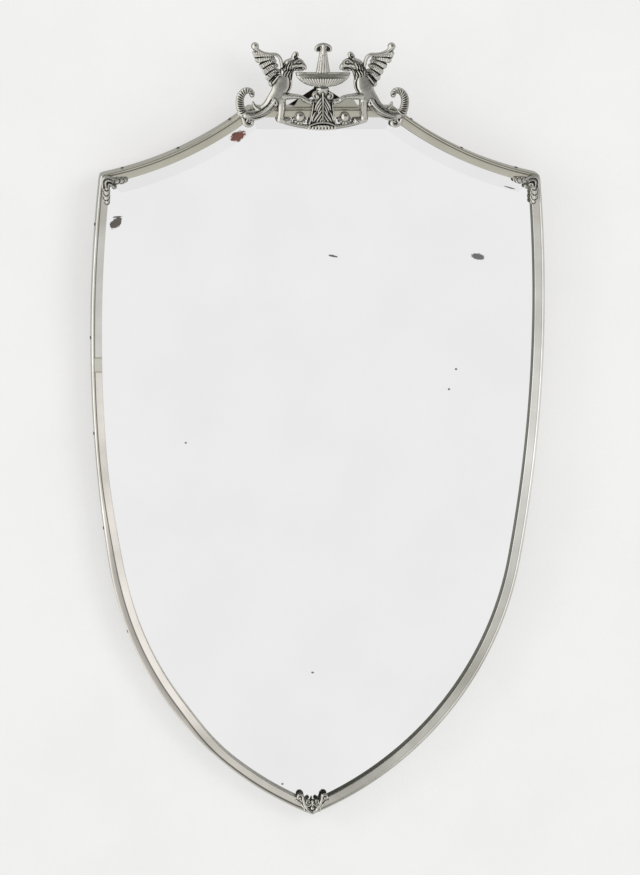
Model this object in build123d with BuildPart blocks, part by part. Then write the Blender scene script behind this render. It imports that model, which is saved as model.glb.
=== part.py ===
from build123d import *

import os
from math import acos, atan2, cos, degrees, hypot, radians, sin, sqrt

# Shield-shaped wall mirror in a pewter frame with a cast crest.
# Millimetres. +X to the viewer's right, +Z up, the front faces -Y.
# The origin is the centre of the nail eye of the iron hanging loop.

# Outline of the frame, seen from the front and measured from the nail eye
half_width = 251.6
widest_drop = 262.0
side_radius = 1640.0
side_turn = 9.4
flank_radius = 378.0
bar_half_length = 80.0
bar_drop = 18.0
corner_drop = 74.6
shoulder_radius = 385.0

# Section of the pewter strip: face, side wall, beaded edge and inner lip
face_width = 11.2
sheet = 1.0
frame_depth = 24.0
wall_short = 1.5
bead_radius = 1.5
bead_rise = 0.5
lip_seat = 0.15

# Layers behind the face, from the back forward
panel_thickness = 4.0
batten_depth = 9.0
batten_width = 38.0
paper_thickness = 0.5
glass_thickness = 5.0
bevel_width = 22.0
bevel_drop = 1.8
fit_gap = 0.3
glass_gap = 2.0
packing_gap = 0.2
cork_length = 26.0
cork_gap = 0.1

# Soldered splice on the left side
splice_drop = 303.5
splice_length = 17.0
splice_sheet = 0.4

# Hanging loop of black iron and its keeper
eye_radius = 2.6
eye_boss_radius = 6.5
strap_width = 6.5
strap_thickness = 2.0
loop_drop = 26.0
loop_half_width = 40.0
bar_wire_radius = 1.6
loop_end_radius = 2.0
hinge_clearance = 0.06
keeper_sheet = 1.0
keeper_width = 30.0
keeper_height = 26.0
keeper_chamfer = 4.0

# Wood screws: back panel and keeper
screw_radius = 1.5
screw_head_radius = 3.0
screw_head_depth = 1.6
screw_length = 11.0
screw_slot_width = 0.7
screw_slot_depth = 0.6
screw_gap = 0.1
panel_screw_inset = 20.0
keeper_screw_spread = 10.0
keeper_screw_drop = 14.0

# Nails through the side wall
nail_radius = 0.8
nail_length = 12.0
nail_head_radius = 1.7
nail_head_height = 0.8
nail_depth = 9.0
nail_gap = 0.05

# Crest castings: overall size, relief and thicknesses
crest_half_width = 95.0
crest_height = 96.0
crest_base_drop = 42.9
crest_lift = 0.1
relief_shift = 3.2
relief_flatness = 0.62
crest_rail_thickness = 3.0
crest_rail_width = 4.6
crest_rail_half_length = 47.5
crest_rail_sag = 8.0
feather_thickness = 2.4
feather_step = 0.35
feather_share = 0.17
ball_radius = 4.3
basin_flatness = 0.27
jet_flatness = 0.5
rosette_radius = 5.4
petal_radius = 1.9
petal_height = 4.2
petal_count = 5
scroll_radius = 4.4
scroll_wire_radius = 2.2
scroll_start = 120.0
scroll_turn = 250.0
rivet_radius = 1.2
rivet_bite = 3.0
rivet_gap = 0.1

# Stay plate that stands on the bar behind the griffins
stay_height = 8.4
stay_thickness = 2.0
stay_left_reach = 31.0
stay_right_reach = 40.0
stay_slant = 5.0
stay_set_back = 0.6

# Cast foliage on the corners and on the tip
mount_lift = 0.1
leaf_thickness = 1.5
leaf_step = 0.25
boss_radius = 5.6
boss_flatness = 0.7
berry_radius = 2.6
arm_length = 33.0
drop_length = 30.0
foot_arm_length = 22.0
volute_radius = 3.4
volute_height = 4.8

# The back of the panel lies just clear of the hanging loop's hinge barrel
overrun = 5.0
barrel_radius = bar_wire_radius + hinge_clearance + keeper_sheet
back_y = -barrel_radius
glass_depth = panel_thickness + batten_depth + paper_thickness
glass_inset = sheet + glass_gap
panel_inset = sheet + fit_gap
crest_depth = frame_depth + bead_rise + crest_lift
crest_base = -crest_base_drop

# Centres of the arcs of the outline's right half
bar_top = -bar_drop
corner_z = bar_top - corner_drop
side_centre = (half_width - side_radius, -widest_drop)
corner_x = side_centre[0] + sqrt(side_radius**2 - (corner_z - side_centre[1]) ** 2)
turn_step = side_radius - flank_radius
flank_centre = (
    side_centre[0] + turn_step * cos(radians(side_turn)),
    side_centre[1] - turn_step * sin(radians(side_turn)),
)
chord = (corner_x - bar_half_length, corner_z - bar_top)
chord_length = hypot(chord[0], chord[1])
chord_rise = sqrt(shoulder_radius**2 - (chord_length / 2) ** 2)
shoulder_centre = (
    bar_half_length + chord[0] / 2 - chord[1] / chord_length * chord_rise,
    bar_top + chord[1] / 2 + chord[0] / chord_length * chord_rise,
)


def angle_of(centre, point):
    """Angle of a point about a centre, in degrees."""
    return degrees(atan2(point[1] - centre[1], point[0] - centre[0]))


def on_circle(centre, radius, angle):
    """Point of a circle at an angle in degrees."""
    return (
        centre[0] + radius * cos(radians(angle)),
        centre[1] + radius * sin(radians(angle)),
    )


def bar_end(inset):
    """Right end of the straight bar on the outline that lies inset inside the edge."""
    z = bar_top - inset
    reach = sqrt((shoulder_radius + inset) ** 2 - (z - shoulder_centre[1]) ** 2)
    return (shoulder_centre[0] - reach, z)


def corner(inset):
    """Right upper corner of the inset outline, where shoulder and side arcs cross."""
    r1 = shoulder_radius + inset
    r2 = side_radius - inset
    dx = side_centre[0] - shoulder_centre[0]
    dz = side_centre[1] - shoulder_centre[1]
    apart = hypot(dx, dz)
    along = (apart**2 + r1**2 - r2**2) / (2 * apart)
    across = sqrt(r1**2 - along**2)
    return (
        shoulder_centre[0] + (along * dx - across * dz) / apart,
        shoulder_centre[1] + (along * dz + across * dx) / apart,
    )


def tip_angle(inset):
    """Angle at which the flank arc of the inset outline meets the centre line."""
    return -degrees(acos(-flank_centre[0] / (flank_radius - inset)))


def tip_z(inset):
    """Height of the inset outline's lower point."""
    return on_circle(flank_centre, flank_radius - inset, tip_angle(inset))[1]


def front_plane(depth, x=0.0, z=0.0):
    """Drawing plane that faces the viewer, at a depth in front of the panel's back."""
    return Plane(origin=(x, back_y - depth, z), x_dir=(1, 0, 0), z_dir=(0, -1, 0))


def hand_arc(centre, radius, start, end, hand):
    """Arc about a centre of the right half, or its mirror image for hand -1."""
    if hand > 0:
        CenterArc(centre, radius, start, end - start)
    else:
        CenterArc((-centre[0], centre[1]), radius, 180 - start, start - end)


def shoulder_arc(inset, hand):
    """The concave arc from the bar's end to the corner."""
    start = angle_of(shoulder_centre, bar_end(inset))
    end = angle_of(shoulder_centre, corner(inset))
    hand_arc(shoulder_centre, shoulder_radius + inset, start, end, hand)


def side_arcs(inset, hand):
    """The two arcs from the corner down to the tip."""
    start = angle_of(side_centre, corner(inset))
    hand_arc(side_centre, side_radius - inset, start, -side_turn, hand)
    hand_arc(flank_centre, flank_radius - inset, -side_turn, tip_angle(inset), hand)


def outline(inset):
    """The whole shield outline, inset inside the frame's outer edge, as a flat face."""
    end = bar_end(inset)
    with BuildSketch() as shield:
        with BuildLine():
            Line((-end[0], end[1]), end)
            for hand in (1, -1):
                shoulder_arc(inset, hand)
                side_arcs(inset, hand)
        make_face()
    return shield.sketch


def ring(outer_inset, inner_inset):
    """The band between two inset outlines, as a flat face."""
    with BuildSketch() as band:
        add(outline(outer_inset))
        add(outline(inner_inset), mode=Mode.SUBTRACT)
    return band.sketch


def below(z):
    """Cutting plane whose kept side, TOP, lies under a height."""
    return Plane(origin=(0, 0, z), x_dir=(1, 0, 0), z_dir=(0, 0, -1))


def mitre(outer, inner, away):
    """Upright cutting plane through two points of a joint, its normal pointing away from a point."""
    along = Vector(inner[0] - outer[0], 0, inner[1] - outer[1])
    normal = along.cross(Vector(0, 1, 0)).normalized()
    to_away = Vector(away[0] - outer[0], 0, away[1] - outer[1])
    if normal.dot(to_away) > 0:
        normal = -normal
    return Plane(origin=(outer[0], 0, outer[1]), x_dir=along, z_dir=normal)


bar_mitre = (bar_end(0), bar_end(face_width))
corner_mitre = (corner(0), corner(face_width))

# Height of the bevelled glass under the lip, measured from the panel's back
lip_reach = face_width - glass_inset
lip_top = glass_depth + glass_thickness - bevel_drop * (1 - lip_reach / bevel_width)
spare_turn = degrees(2 * face_width / flank_radius)


def strip_section(path):
    """Section of the bent pewter strip, drawn across the start of its path."""
    tangent = path % 0
    start = path @ 0
    outward = tangent.cross(Vector(0, 1, 0))
    lip_depth = frame_depth - lip_top - lip_seat
    with BuildSketch(Plane(origin=start, x_dir=outward, z_dir=tangent)) as section:
        with Locations((-face_width / 2, -sheet / 2)):
            Rectangle(face_width, sheet)
        with Locations((-sheet / 2, -(frame_depth - wall_short) / 2)):
            Rectangle(sheet, frame_depth - wall_short)
        with Locations((-face_width + sheet / 2, -lip_depth / 2)):
            Rectangle(sheet, lip_depth)
        with Locations((-bead_radius, bead_rise - bead_radius)):
            Circle(bead_radius)
    return section.sketch


# Bar of the frame, straight, under the crest
with BuildPart() as top_bar:
    spare = bar_half_length + 2 * face_width
    with BuildLine(front_plane(frame_depth)) as bar_path:
        Line((-spare, bar_top), (spare, bar_top))
    sweep(sections=strip_section(bar_path.line), path=bar_path.line)
    split(bisect_by=mitre(*bar_mitre, away=corner(0)))
    left_mitre = [(-p[0], p[1]) for p in bar_mitre]
    split(bisect_by=mitre(*left_mitre, away=(-corner(0)[0], corner(0)[1])))

# Shoulder: the concave strip between the bar and the corner
with BuildPart() as shoulder_right:
    first = angle_of(shoulder_centre, bar_end(0)) - spare_turn
    last = angle_of(shoulder_centre, corner(0)) + spare_turn
    with BuildLine(front_plane(frame_depth)) as shoulder_path:
        CenterArc(shoulder_centre, shoulder_radius, first, last - first)
    sweep(sections=strip_section(shoulder_path.line), path=shoulder_path.line)
    split(bisect_by=mitre(*bar_mitre, away=(0, bar_top)))
    split(bisect_by=mitre(*corner_mitre, away=(half_width, -widest_drop)))

with BuildPart() as shoulder_left:
    mirror(shoulder_right.part, about=Plane.YZ)

# Side: one long bent strip from the corner round the flank to the tip
with BuildPart() as side_right:
    first = angle_of(side_centre, corner(0)) + spare_turn
    last = tip_angle(0) - spare_turn
    with BuildLine(front_plane(frame_depth)) as side_path:
        CenterArc(side_centre, side_radius, first, -side_turn - first)
        CenterArc(flank_centre, flank_radius, -side_turn, last + side_turn)
    sweep(sections=strip_section(side_path.line), path=side_path.line)
    split(bisect_by=mitre(*corner_mitre, away=bar_end(0)))
    split(bisect_by=Plane(origin=(0, 0, 0), x_dir=(0, 1, 0), z_dir=(1, 0, 0)))

# On the left the strip was made up from two lengths, spliced under a soldered patch
with BuildPart() as side_left_upper:
    mirror(side_right.part, about=Plane.YZ)
    split(bisect_by=below(-splice_drop), keep=Keep.BOTTOM)

with BuildPart() as side_left_lower:
    mirror(side_right.part, about=Plane.YZ)
    split(bisect_by=below(-splice_drop), keep=Keep.TOP)

with BuildPart() as splice_patch:
    with BuildSketch(front_plane(frame_depth)):
        add(ring(2 * bead_radius, face_width))
    extrude(amount=splice_sheet)
    split(bisect_by=below(splice_length / 2 - splice_drop), keep=Keep.TOP)
    split(bisect_by=below(-splice_length / 2 - splice_drop), keep=Keep.BOTTOM)
    split(bisect_by=Plane.YZ, keep=Keep.BOTTOM)

# Mirror plate with its wide bevel
with BuildPart() as mirror_glass:
    edge_height = glass_thickness - bevel_drop
    with BuildSketch(front_plane(glass_depth)):
        add(outline(glass_inset))
    extrude(amount=edge_height)
    with BuildSketch(front_plane(glass_depth + edge_height)):
        add(outline(glass_inset))
    with BuildSketch(front_plane(glass_depth + glass_thickness)):
        add(outline(glass_inset + bevel_width))
    loft(ruled=True)

# Paper sheet between the silvering and the wood
with BuildPart() as backing_paper:
    with BuildSketch(front_plane(glass_depth - paper_thickness)):
        add(outline(panel_inset))
    extrude(amount=paper_thickness)

side_screw_shares = [0.3, -0.55]
flank_screw_shares = [0.2, 0.58, 0.9]
shoulder_screw_shares = [0.15, 0.72]


def screw_planes():
    """Where the panel's wood screws go in, as drawing planes that face the wall."""
    inset = panel_inset + panel_screw_inset
    radius = side_radius - inset
    spots = [on_circle(side_centre, radius, side_turn * t) for t in side_screw_shares]
    radius = flank_radius - inset
    turn = side_turn + tip_angle(inset)
    spots += [
        on_circle(flank_centre, radius, -side_turn + turn * t)
        for t in flank_screw_shares
    ]
    radius = shoulder_radius + inset
    start = angle_of(shoulder_centre, bar_end(inset))
    turn = angle_of(shoulder_centre, corner(inset)) - start
    spots += [
        on_circle(shoulder_centre, radius, start + turn * t)
        for t in shoulder_screw_shares
    ]
    both = spots + [(-x, z) for x, z in spots]
    return [Plane(origin=(x, back_y, z), x_dir=(-1, 0, 0), z_dir=(0, 1, 0)) for x, z in both]


def screw_holes(planes, depth):
    """Countersunk clearance holes through whatever the screws pass."""
    flare = screw_head_radius - screw_radius
    with Locations(*planes):
        CounterSinkHole(
            screw_radius + screw_gap,
            screw_head_radius + screw_gap,
            depth,
            2 * degrees(atan2(flare, screw_head_depth)),
        )


def screws(planes):
    """Countersunk slotted wood screws, each a separate solid."""
    top = (Align.CENTER, Align.CENTER, Align.MAX)
    with Locations(*planes):
        Cone(screw_radius, screw_head_radius, screw_head_depth, align=top)
        Cylinder(screw_radius, screw_length, align=top)
        Box(
            2 * screw_head_radius,
            screw_slot_width,
            screw_slot_depth,
            align=top,
            mode=Mode.SUBTRACT,
        )


keeper_screw_planes = [
    Plane(
        origin=(x, back_y + keeper_sheet, -loop_drop - keeper_screw_drop),
        x_dir=(-1, 0, 0),
        z_dir=(0, 1, 0),
    )
    for x in (-keeper_screw_spread, keeper_screw_spread)
]

# Back panel of thin board
with BuildPart() as back_panel:
    with BuildSketch(front_plane(0)):
        add(outline(panel_inset))
    extrude(amount=panel_thickness)
    screw_holes(screw_planes(), panel_thickness)
    screw_holes(keeper_screw_planes, panel_thickness + keeper_sheet)

side_nail_shares = [0.42, -0.05, -0.45, -0.85]
flank_nail_shares = [0.32, 0.5, 0.66, 0.82, 0.95]
shoulder_nail_shares = [0.14, 0.5, 0.86]


def nail_planes():
    """Planes square to the side wall at each nail, their normals pointing outward."""
    spots = []
    for centre, radius, angles in (
        (side_centre, side_radius, [side_turn * t for t in side_nail_shares]),
        (flank_centre, flank_radius, [tip_angle(0) * t for t in flank_nail_shares]),
    ):
        for angle in angles:
            spots.append((on_circle(centre, radius, angle), angle))
    start = angle_of(shoulder_centre, bar_end(0))
    turn = angle_of(shoulder_centre, corner(0)) - start
    for t in shoulder_nail_shares:
        angle = start + turn * t
        point = on_circle(shoulder_centre, shoulder_radius, angle)
        spots.append((point, angle + 180))
    planes = []
    for hand in (1, -1):
        for (x, z), angle in spots:
            outward = (hand * cos(radians(angle)), 0, sin(radians(angle)))
            planes.append(
                Plane(origin=(hand * x, back_y - nail_depth, z), x_dir=(0, 1, 0), z_dir=outward)
            )
    return planes


def nail_holes():
    """Clearance holes for the nails' shanks."""
    with Locations(*[plane.offset(overrun) for plane in nail_planes()]):
        Cylinder(
            nail_radius + nail_gap,
            overrun + nail_length + 2 * nail_gap,
            align=(Align.CENTER, Align.CENTER, Align.MAX),
            mode=Mode.SUBTRACT,
        )


# Wooden battens behind the glass: a top rail and two stiles
batten_joint = corner_z - batten_width

with BuildPart() as batten_top:
    with BuildSketch(front_plane(panel_thickness)):
        add(ring(panel_inset, panel_inset + batten_width))
    extrude(amount=batten_depth)
    split(bisect_by=below(batten_joint), keep=Keep.BOTTOM)
    screw_holes(screw_planes(), screw_length + screw_gap)
    screw_holes(keeper_screw_planes, screw_length + screw_gap)
    nail_holes()

with BuildPart() as batten_right:
    with BuildSketch(front_plane(panel_thickness)):
        add(ring(panel_inset, panel_inset + batten_width))
    extrude(amount=batten_depth)
    split(bisect_by=below(batten_joint), keep=Keep.TOP)
    split(bisect_by=Plane.YZ, keep=Keep.TOP)
    screw_holes(screw_planes(), screw_length + screw_gap)
    nail_holes()

with BuildPart() as batten_left:
    mirror(batten_right.part, about=Plane.YZ)

# Packing strips between the glass and the hollow face, one for each stretch of the frame
packing_outer = sheet + packing_gap
packing_inner = face_width - sheet - packing_gap
bead_bottom = frame_depth + bead_rise - 2 * bead_radius
packing_depth = glass_depth + glass_thickness - bevel_drop * (
    1 - (packing_inner - glass_inset) / bevel_width
)
with BuildPart() as packing_strips:
    with BuildSketch(front_plane(packing_depth + packing_gap)):
        add(ring(packing_outer, packing_inner))
    extrude(amount=bead_bottom - packing_depth - 2 * packing_gap)
    for hand in (1, -1):
        for outer, inner in (bar_mitre, corner_mitre):
            across = (inner[0] - outer[0], inner[1] - outer[1])
            joint = ((outer[0] + inner[0]) / 2, (outer[1] + inner[1]) / 2)
            turn = degrees(atan2(across[1], across[0]))
            with BuildSketch(front_plane(glass_depth)):
                with Locations(Location((hand * joint[0], joint[1]), hand * turn)):
                    Rectangle(2 * face_width, packing_gap)
            extrude(amount=frame_depth, mode=Mode.SUBTRACT)
    with BuildSketch(front_plane(glass_depth)):
        with Locations((0, tip_z(face_width / 2))):
            Rectangle(packing_gap, 2 * face_width)
    extrude(amount=frame_depth, mode=Mode.SUBTRACT)

# Cork blocks that centre the glass inside the side walls
cork_side_shares = [0.75, 0.1, -0.6]
cork_flank_shares = [0.4, 0.7]
with BuildPart() as cork_blocks:
    with BuildSketch(front_plane(glass_depth)):
        add(ring(sheet + cork_gap, glass_inset - cork_gap))
        with BuildSketch(mode=Mode.INTERSECT):
            corks = []
            for t in cork_side_shares:
                angle = side_turn * t
                corks.append((on_circle(side_centre, side_radius, angle), angle))
            for t in cork_flank_shares:
                angle = tip_angle(0) * t
                corks.append((on_circle(flank_centre, flank_radius, angle), angle))
            for (x, z), angle in corks:
                with Locations(Location((x, z), angle), Location((-x, z), -angle)):
                    Rectangle(cork_length, cork_length)
    extrude(amount=glass_thickness - bevel_drop)

# Nails that hold the pewter strip to the battens, standing a little proud
with BuildPart() as frame_nails:
    with Locations(*[plane.offset(nail_gap) for plane in nail_planes()]):
        Cylinder(
            nail_head_radius,
            nail_head_height,
            align=(Align.CENTER, Align.CENTER, Align.MIN),
        )
        Cylinder(nail_radius, nail_length, align=(Align.CENTER, Align.CENTER, Align.MAX))

for rail in (shoulder_left, shoulder_right, side_right, side_left_upper, side_left_lower):
    with rail:
        nail_holes()

with BuildPart() as panel_screws:
    screws(screw_planes())

# Hanging loop: a flat iron strap bent to a wide V with a nail eye, on a round bottom wire
leg_length = hypot(loop_half_width, loop_drop)
leg_angle = degrees(atan2(loop_drop, loop_half_width))
with BuildPart() as hanging_loop:
    with BuildSketch(Plane(origin=(0, strap_thickness / 2, 0), x_dir=(1, 0, 0), z_dir=(0, -1, 0))):
        Circle(eye_boss_radius)
        for hand in (1, -1):
            leg = (hand * loop_half_width / 2, -loop_drop / 2)
            with Locations(Location(leg, -hand * leg_angle)):
                Rectangle(leg_length, strap_width)
            with Locations((hand * loop_half_width, -loop_drop)):
                Circle(loop_end_radius)
        with Locations((0, -loop_drop - loop_end_radius)):
            above = (Align.CENTER, Align.MIN)
            Rectangle(3 * loop_half_width, 3 * loop_half_width, align=above, mode=Mode.INTERSECT)
    extrude(amount=strap_thickness)
    with BuildSketch(Plane.YZ.offset(-loop_half_width)):
        with Locations((0, -loop_drop)):
            Circle(bar_wire_radius)
    extrude(amount=2 * loop_half_width)
    with BuildSketch(Plane(origin=(0, strap_thickness, 0), x_dir=(1, 0, 0), z_dir=(0, -1, 0))):
        Circle(eye_radius)
    extrude(amount=2 * strap_thickness, mode=Mode.SUBTRACT)

# Keeper: sheet iron rolled round the loop's bottom wire and screwed to the back
with BuildPart() as loop_keeper:
    with BuildSketch(Plane.YZ.offset(-keeper_width / 2)):
        with Locations((0, -loop_drop)):
            Circle(barrel_radius)
        with Locations((back_y + keeper_sheet / 2, -loop_drop - keeper_height / 2)):
            Rectangle(keeper_sheet, keeper_height)
        with Locations((0, -loop_drop)):
            Circle(bar_wire_radius + hinge_clearance, mode=Mode.SUBTRACT)
    extrude(amount=keeper_width)
    bottom = loop_keeper.edges().filter_by(Axis.Y).group_by(Axis.Z)[0]
    chamfer(bottom, keeper_chamfer)
    screw_holes(keeper_screw_planes, 2 * keeper_sheet)

with BuildPart() as keeper_screws:
    screws(keeper_screw_planes)

# Stay plate behind the griffins, standing on the bar
with BuildPart() as crest_stay:
    with BuildSketch(front_plane(frame_depth - stay_set_back - stay_thickness - bead_radius)):
        with BuildLine():
            Polyline(
                (-stay_left_reach, bar_top),
                (stay_right_reach, bar_top),
                (stay_right_reach - stay_slant, bar_top + stay_height),
                (-stay_left_reach + stay_slant, bar_top + stay_height),
                close=True,
            )
        make_face()
    extrude(amount=stay_thickness)


def crest_point(x_share, height_share):
    """Point of the crest from shares of its half width and height, for its right half."""
    return (x_share * crest_half_width, crest_base + height_share * crest_height)


def limb(stations, shift=relief_shift, flatness=relief_flatness):
    """Rounded tapering form through stations of x share, height share and radius share."""
    points = [crest_point(x, h) for x, h, _ in stations]
    sections = []
    for n, (x, z) in enumerate(points):
        before = points[max(n - 1, 0)]
        after = points[min(n + 1, len(points) - 1)]
        along = (after[0] - before[0], 0, after[1] - before[1])
        radius = stations[n][2] * crest_height
        origin = (x, back_y - crest_depth - shift, z)
        with BuildSketch(Plane(origin=origin, x_dir=(0, -1, 0), z_dir=along)) as section:
            Ellipse(radius * flatness, radius)
        sections.append(section.sketch)
    loft(sections)


def ball(x_share, height_share, radius, shift=relief_shift):
    """Cast ball or knob centred in the relief."""
    x, z = crest_point(x_share, height_share)
    with Locations(front_plane(crest_depth + shift, x, z)):
        Sphere(radius)


def blade(root, tip, width, depth, thickness):
    """Flat leaf or feather between two points, bounded by two arcs."""
    dx = tip[0] - root[0]
    dz = tip[1] - root[1]
    length = hypot(dx, dz)
    side = (-dz / length * width / 2, dx / length * width / 2)
    x, z = (root[0] + dx / 2, root[1] + dz / 2)
    with BuildSketch(front_plane(depth)) as leaf:
        with BuildLine():
            ThreePointArc(root, (x + side[0], z + side[1]), tip)
            ThreePointArc(tip, (x - side[0], z - side[1]), root)
        make_face()
    extrude(leaf.sketch, amount=thickness)


# Shares of the crest's half width, its height and, third, a radius as a share of the height
body_shares = [
    (0.34, 0.79, 0.036),
    (0.40, 0.71, 0.058),
    (0.45, 0.58, 0.078),
    (0.49, 0.45, 0.072),
    (0.57, 0.33, 0.062),
    (0.68, 0.225, 0.056),
    (0.80, 0.165, 0.048),
    (0.90, 0.165, 0.044),
]
tail_shares = [
    (0.86, 0.165, 0.045),
    (0.94, 0.22, 0.046),
    (0.965, 0.31, 0.044),
    (0.955, 0.40, 0.041),
    (0.905, 0.455, 0.038),
    (0.845, 0.455, 0.035),
    (0.81, 0.40, 0.032),
]
head_shares = [
    (0.37, 0.80, 0.062),
    (0.30, 0.795, 0.058),
    (0.235, 0.755, 0.036),
    (0.19, 0.715, 0.018),
]
jaw_shares = [(0.31, 0.73, 0.026), (0.26, 0.70, 0.022), (0.22, 0.69, 0.014)]
foreleg_shares = [
    (0.46, 0.435, 0.034),
    (0.38, 0.41, 0.026),
    (0.28, 0.395, 0.022),
    (0.21, 0.345, 0.022),
    (0.165, 0.315, 0.026),
]
hindleg_shares = [
    (0.55, 0.37, 0.040),
    (0.515, 0.28, 0.034),
    (0.495, 0.18, 0.030),
    (0.48, 0.11, 0.034),
]
paw_shares = [(0.50, 0.105, 0.030), (0.44, 0.105, 0.030), (0.375, 0.115, 0.026)]
wing_edge_shares = [
    (0.45, 0.60, 0.026),
    (0.468, 0.74, 0.026),
    (0.50, 0.83, 0.024),
    (0.58, 0.872, 0.022),
    (0.70, 0.892, 0.024),
    (0.775, 0.935, 0.028),
]
feather_root_shares = [
    (0.60, 0.87),
    (0.55, 0.85),
    (0.51, 0.80),
    (0.485, 0.74),
    (0.475, 0.68),
    (0.465, 0.62),
    (0.455, 0.56),
]
feather_tip_shares = [
    (0.805, 0.865),
    (0.785, 0.80),
    (0.745, 0.735),
    (0.70, 0.67),
    (0.655, 0.60),
    (0.615, 0.525),
    (0.56, 0.49),
]
spur_shares = [(0.74, 0.25, 0.020), (0.78, 0.29, 0.014), (0.805, 0.335, 0.010)]
ear_share = (0.335, 0.86)
wing_ball_share = (0.79, 0.957)
scroll_share = (0.865, 0.085)

# Griffin: body, head, legs, curled tail and raised wing, one casting
crest_front = front_plane(crest_depth)
with BuildPart() as griffin_right:
    limb(body_shares)
    limb(tail_shares)
    limb(head_shares)
    limb(jaw_shares)
    limb(foreleg_shares)
    limb(hindleg_shares)
    limb(paw_shares)
    limb(wing_edge_shares)
    limb(spur_shares)
    ball(*ear_share, ball_radius)
    ball(*wing_ball_share, ball_radius)
    ball(*tail_shares[-1][:2], ball_radius * relief_flatness)
    count = len(feather_root_shares)
    for n, (root, tip) in enumerate(zip(feather_root_shares, feather_tip_shares)):
        blade(
            crest_point(*root),
            crest_point(*tip),
            feather_share * crest_height,
            crest_depth + (count - n) * feather_step,
            feather_thickness,
        )
    x, z = crest_point(*scroll_share)
    with BuildLine(front_plane(crest_depth + scroll_wire_radius, x, z)) as scroll_path:
        CenterArc((0, 0), scroll_radius, scroll_start, scroll_turn)
    with BuildSketch(Plane(origin=scroll_path.line @ 0, z_dir=scroll_path.line % 0)):
        Circle(scroll_wire_radius)
    sweep(path=scroll_path.line)
    split(bisect_by=crest_front, keep=Keep.TOP)

# Base rail: a shallow sagging band that carries the fountain and the paws
sag_radius = (crest_rail_half_length**2 + crest_rail_sag**2) / (2 * crest_rail_sag)
with BuildPart() as crest_rail:
    with BuildSketch(crest_front):
        with BuildLine():
            low = crest_base
            high = crest_base + crest_rail_sag
            half = crest_rail_half_length
            ThreePointArc((-half, high), (0, low), (half, high))
            Line((half, high), (half, high + crest_rail_width))
            ThreePointArc(
                (half, high + crest_rail_width),
                (0, low + crest_rail_width),
                (-half, high + crest_rail_width),
            )
            Line((-half, high + crest_rail_width), (-half, high))
        make_face()
    extrude(amount=crest_rail_thickness)

with griffin_right:
    add(crest_rail.part, mode=Mode.SUBTRACT)

# Acanthus pedestal of the fountain
pedestal_shares = [
    (0.030, 0.145),
    (0.100, 0.145),
    (0.130, 0.125),
    (0.300, 0.105),
    (0.400, 0.085),
    (0.450, 0.070),
]
collar_share = 0.065


def relief_loft(stations, flatness, depth):
    """Upright turned form, flattened to a relief, through height and radius shares."""
    sections = []
    for height, radius_share in stations:
        radius = radius_share * crest_height
        plane = Plane(
            origin=(0, back_y - depth, crest_base + height * crest_height),
            x_dir=(1, 0, 0),
            z_dir=(0, 0, 1),
        )
        with BuildSketch(plane) as section:
            Ellipse(radius, radius * flatness)
        sections.append(section.sketch)
    loft(sections)


pedestal_flatness = 0.45
bottom = (Align.CENTER, Align.CENTER, Align.MIN)
volute_share = (0.075, 0.375)
with BuildPart() as fountain_pedestal:
    relief_loft(pedestal_shares, pedestal_flatness, crest_depth)
    x, z = crest_point(*volute_share)
    with Locations(front_plane(crest_depth, x, z), front_plane(crest_depth, -x, z)):
        Cylinder(volute_radius, volute_height, align=bottom)
    split(bisect_by=crest_front, keep=Keep.TOP)
    add(crest_rail.part, mode=Mode.SUBTRACT)

# Basin: collar, gadrooned underside and moulded rim
basin_shares = [(0.505, 0.160), (0.525, 0.210), (0.56, 0.262), (0.60, 0.292), (0.655, 0.306)]
with BuildPart() as fountain_basin:
    relief_loft(basin_shares, basin_flatness, crest_depth)
    relief_loft([(0.452, collar_share), (0.520, collar_share)], pedestal_flatness, crest_depth)
    split(bisect_by=crest_front, keep=Keep.TOP)

# Water jet: fluted column under a curling cap
jet_shares = [(0.657, 0.082), (0.76, 0.062), (0.875, 0.043)]
cap_shares = [(0.868, 0.060), (0.91, 0.098), (0.95, 0.098), (0.985, 0.070), (1.0, 0.030)]
with BuildPart() as water_jet:
    relief_loft(jet_shares, jet_flatness, crest_depth)
    relief_loft(cap_shares, jet_flatness, crest_depth)
    split(bisect_by=crest_front, keep=Keep.TOP)

# Ball rosettes on the base rail
rosette_share = (0.26, 0.147)
with BuildPart() as rosette_right:
    ball(*rosette_share, rosette_radius, relief_shift / 2)
    x, z = crest_point(*rosette_share)
    for n in range(petal_count):
        angle = 180 + 180 * (n + 0.5) / petal_count
        px, pz = on_circle((x, z), rosette_radius, angle)
        with Locations(front_plane(crest_depth, px, pz)):
            Cylinder(petal_radius, petal_height, align=bottom)
    split(bisect_by=crest_front, keep=Keep.TOP)
    add(crest_rail.part, mode=Mode.SUBTRACT)

with BuildPart() as rosette_left:
    mirror(rosette_right.part, about=Plane.YZ)

# Rivets that hold the griffins to the middle of the bar's face
rivet_shares = [0.52, 0.76]
middle = face_width / 2


def rivet_spots():
    """Rivet centres on both halves."""
    right = [(share * crest_half_width, bar_top - middle) for share in rivet_shares]
    return right + [(-x, z) for x, z in right]


def rivet_shanks(radius, spare_end, mode=Mode.ADD):
    """Rivet shanks from inside the castings back through the face of the frame."""
    length = sheet + bead_rise + crest_lift + rivet_bite + 2 * spare_end
    start = front_plane(frame_depth - sheet - spare_end)
    with Locations(*[start.location * Location((x, z, 0)) for x, z in rivet_spots()]):
        Cylinder(radius, length, align=(Align.CENTER, Align.CENTER, Align.MIN), mode=mode)


with BuildPart() as crest_rivets:
    rivet_shanks(rivet_radius, 0)

for pierced in (griffin_right, top_bar, shoulder_left, shoulder_right):
    with pierced:
        rivet_shanks(rivet_radius + rivet_gap, rivet_gap, Mode.SUBTRACT)

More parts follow.
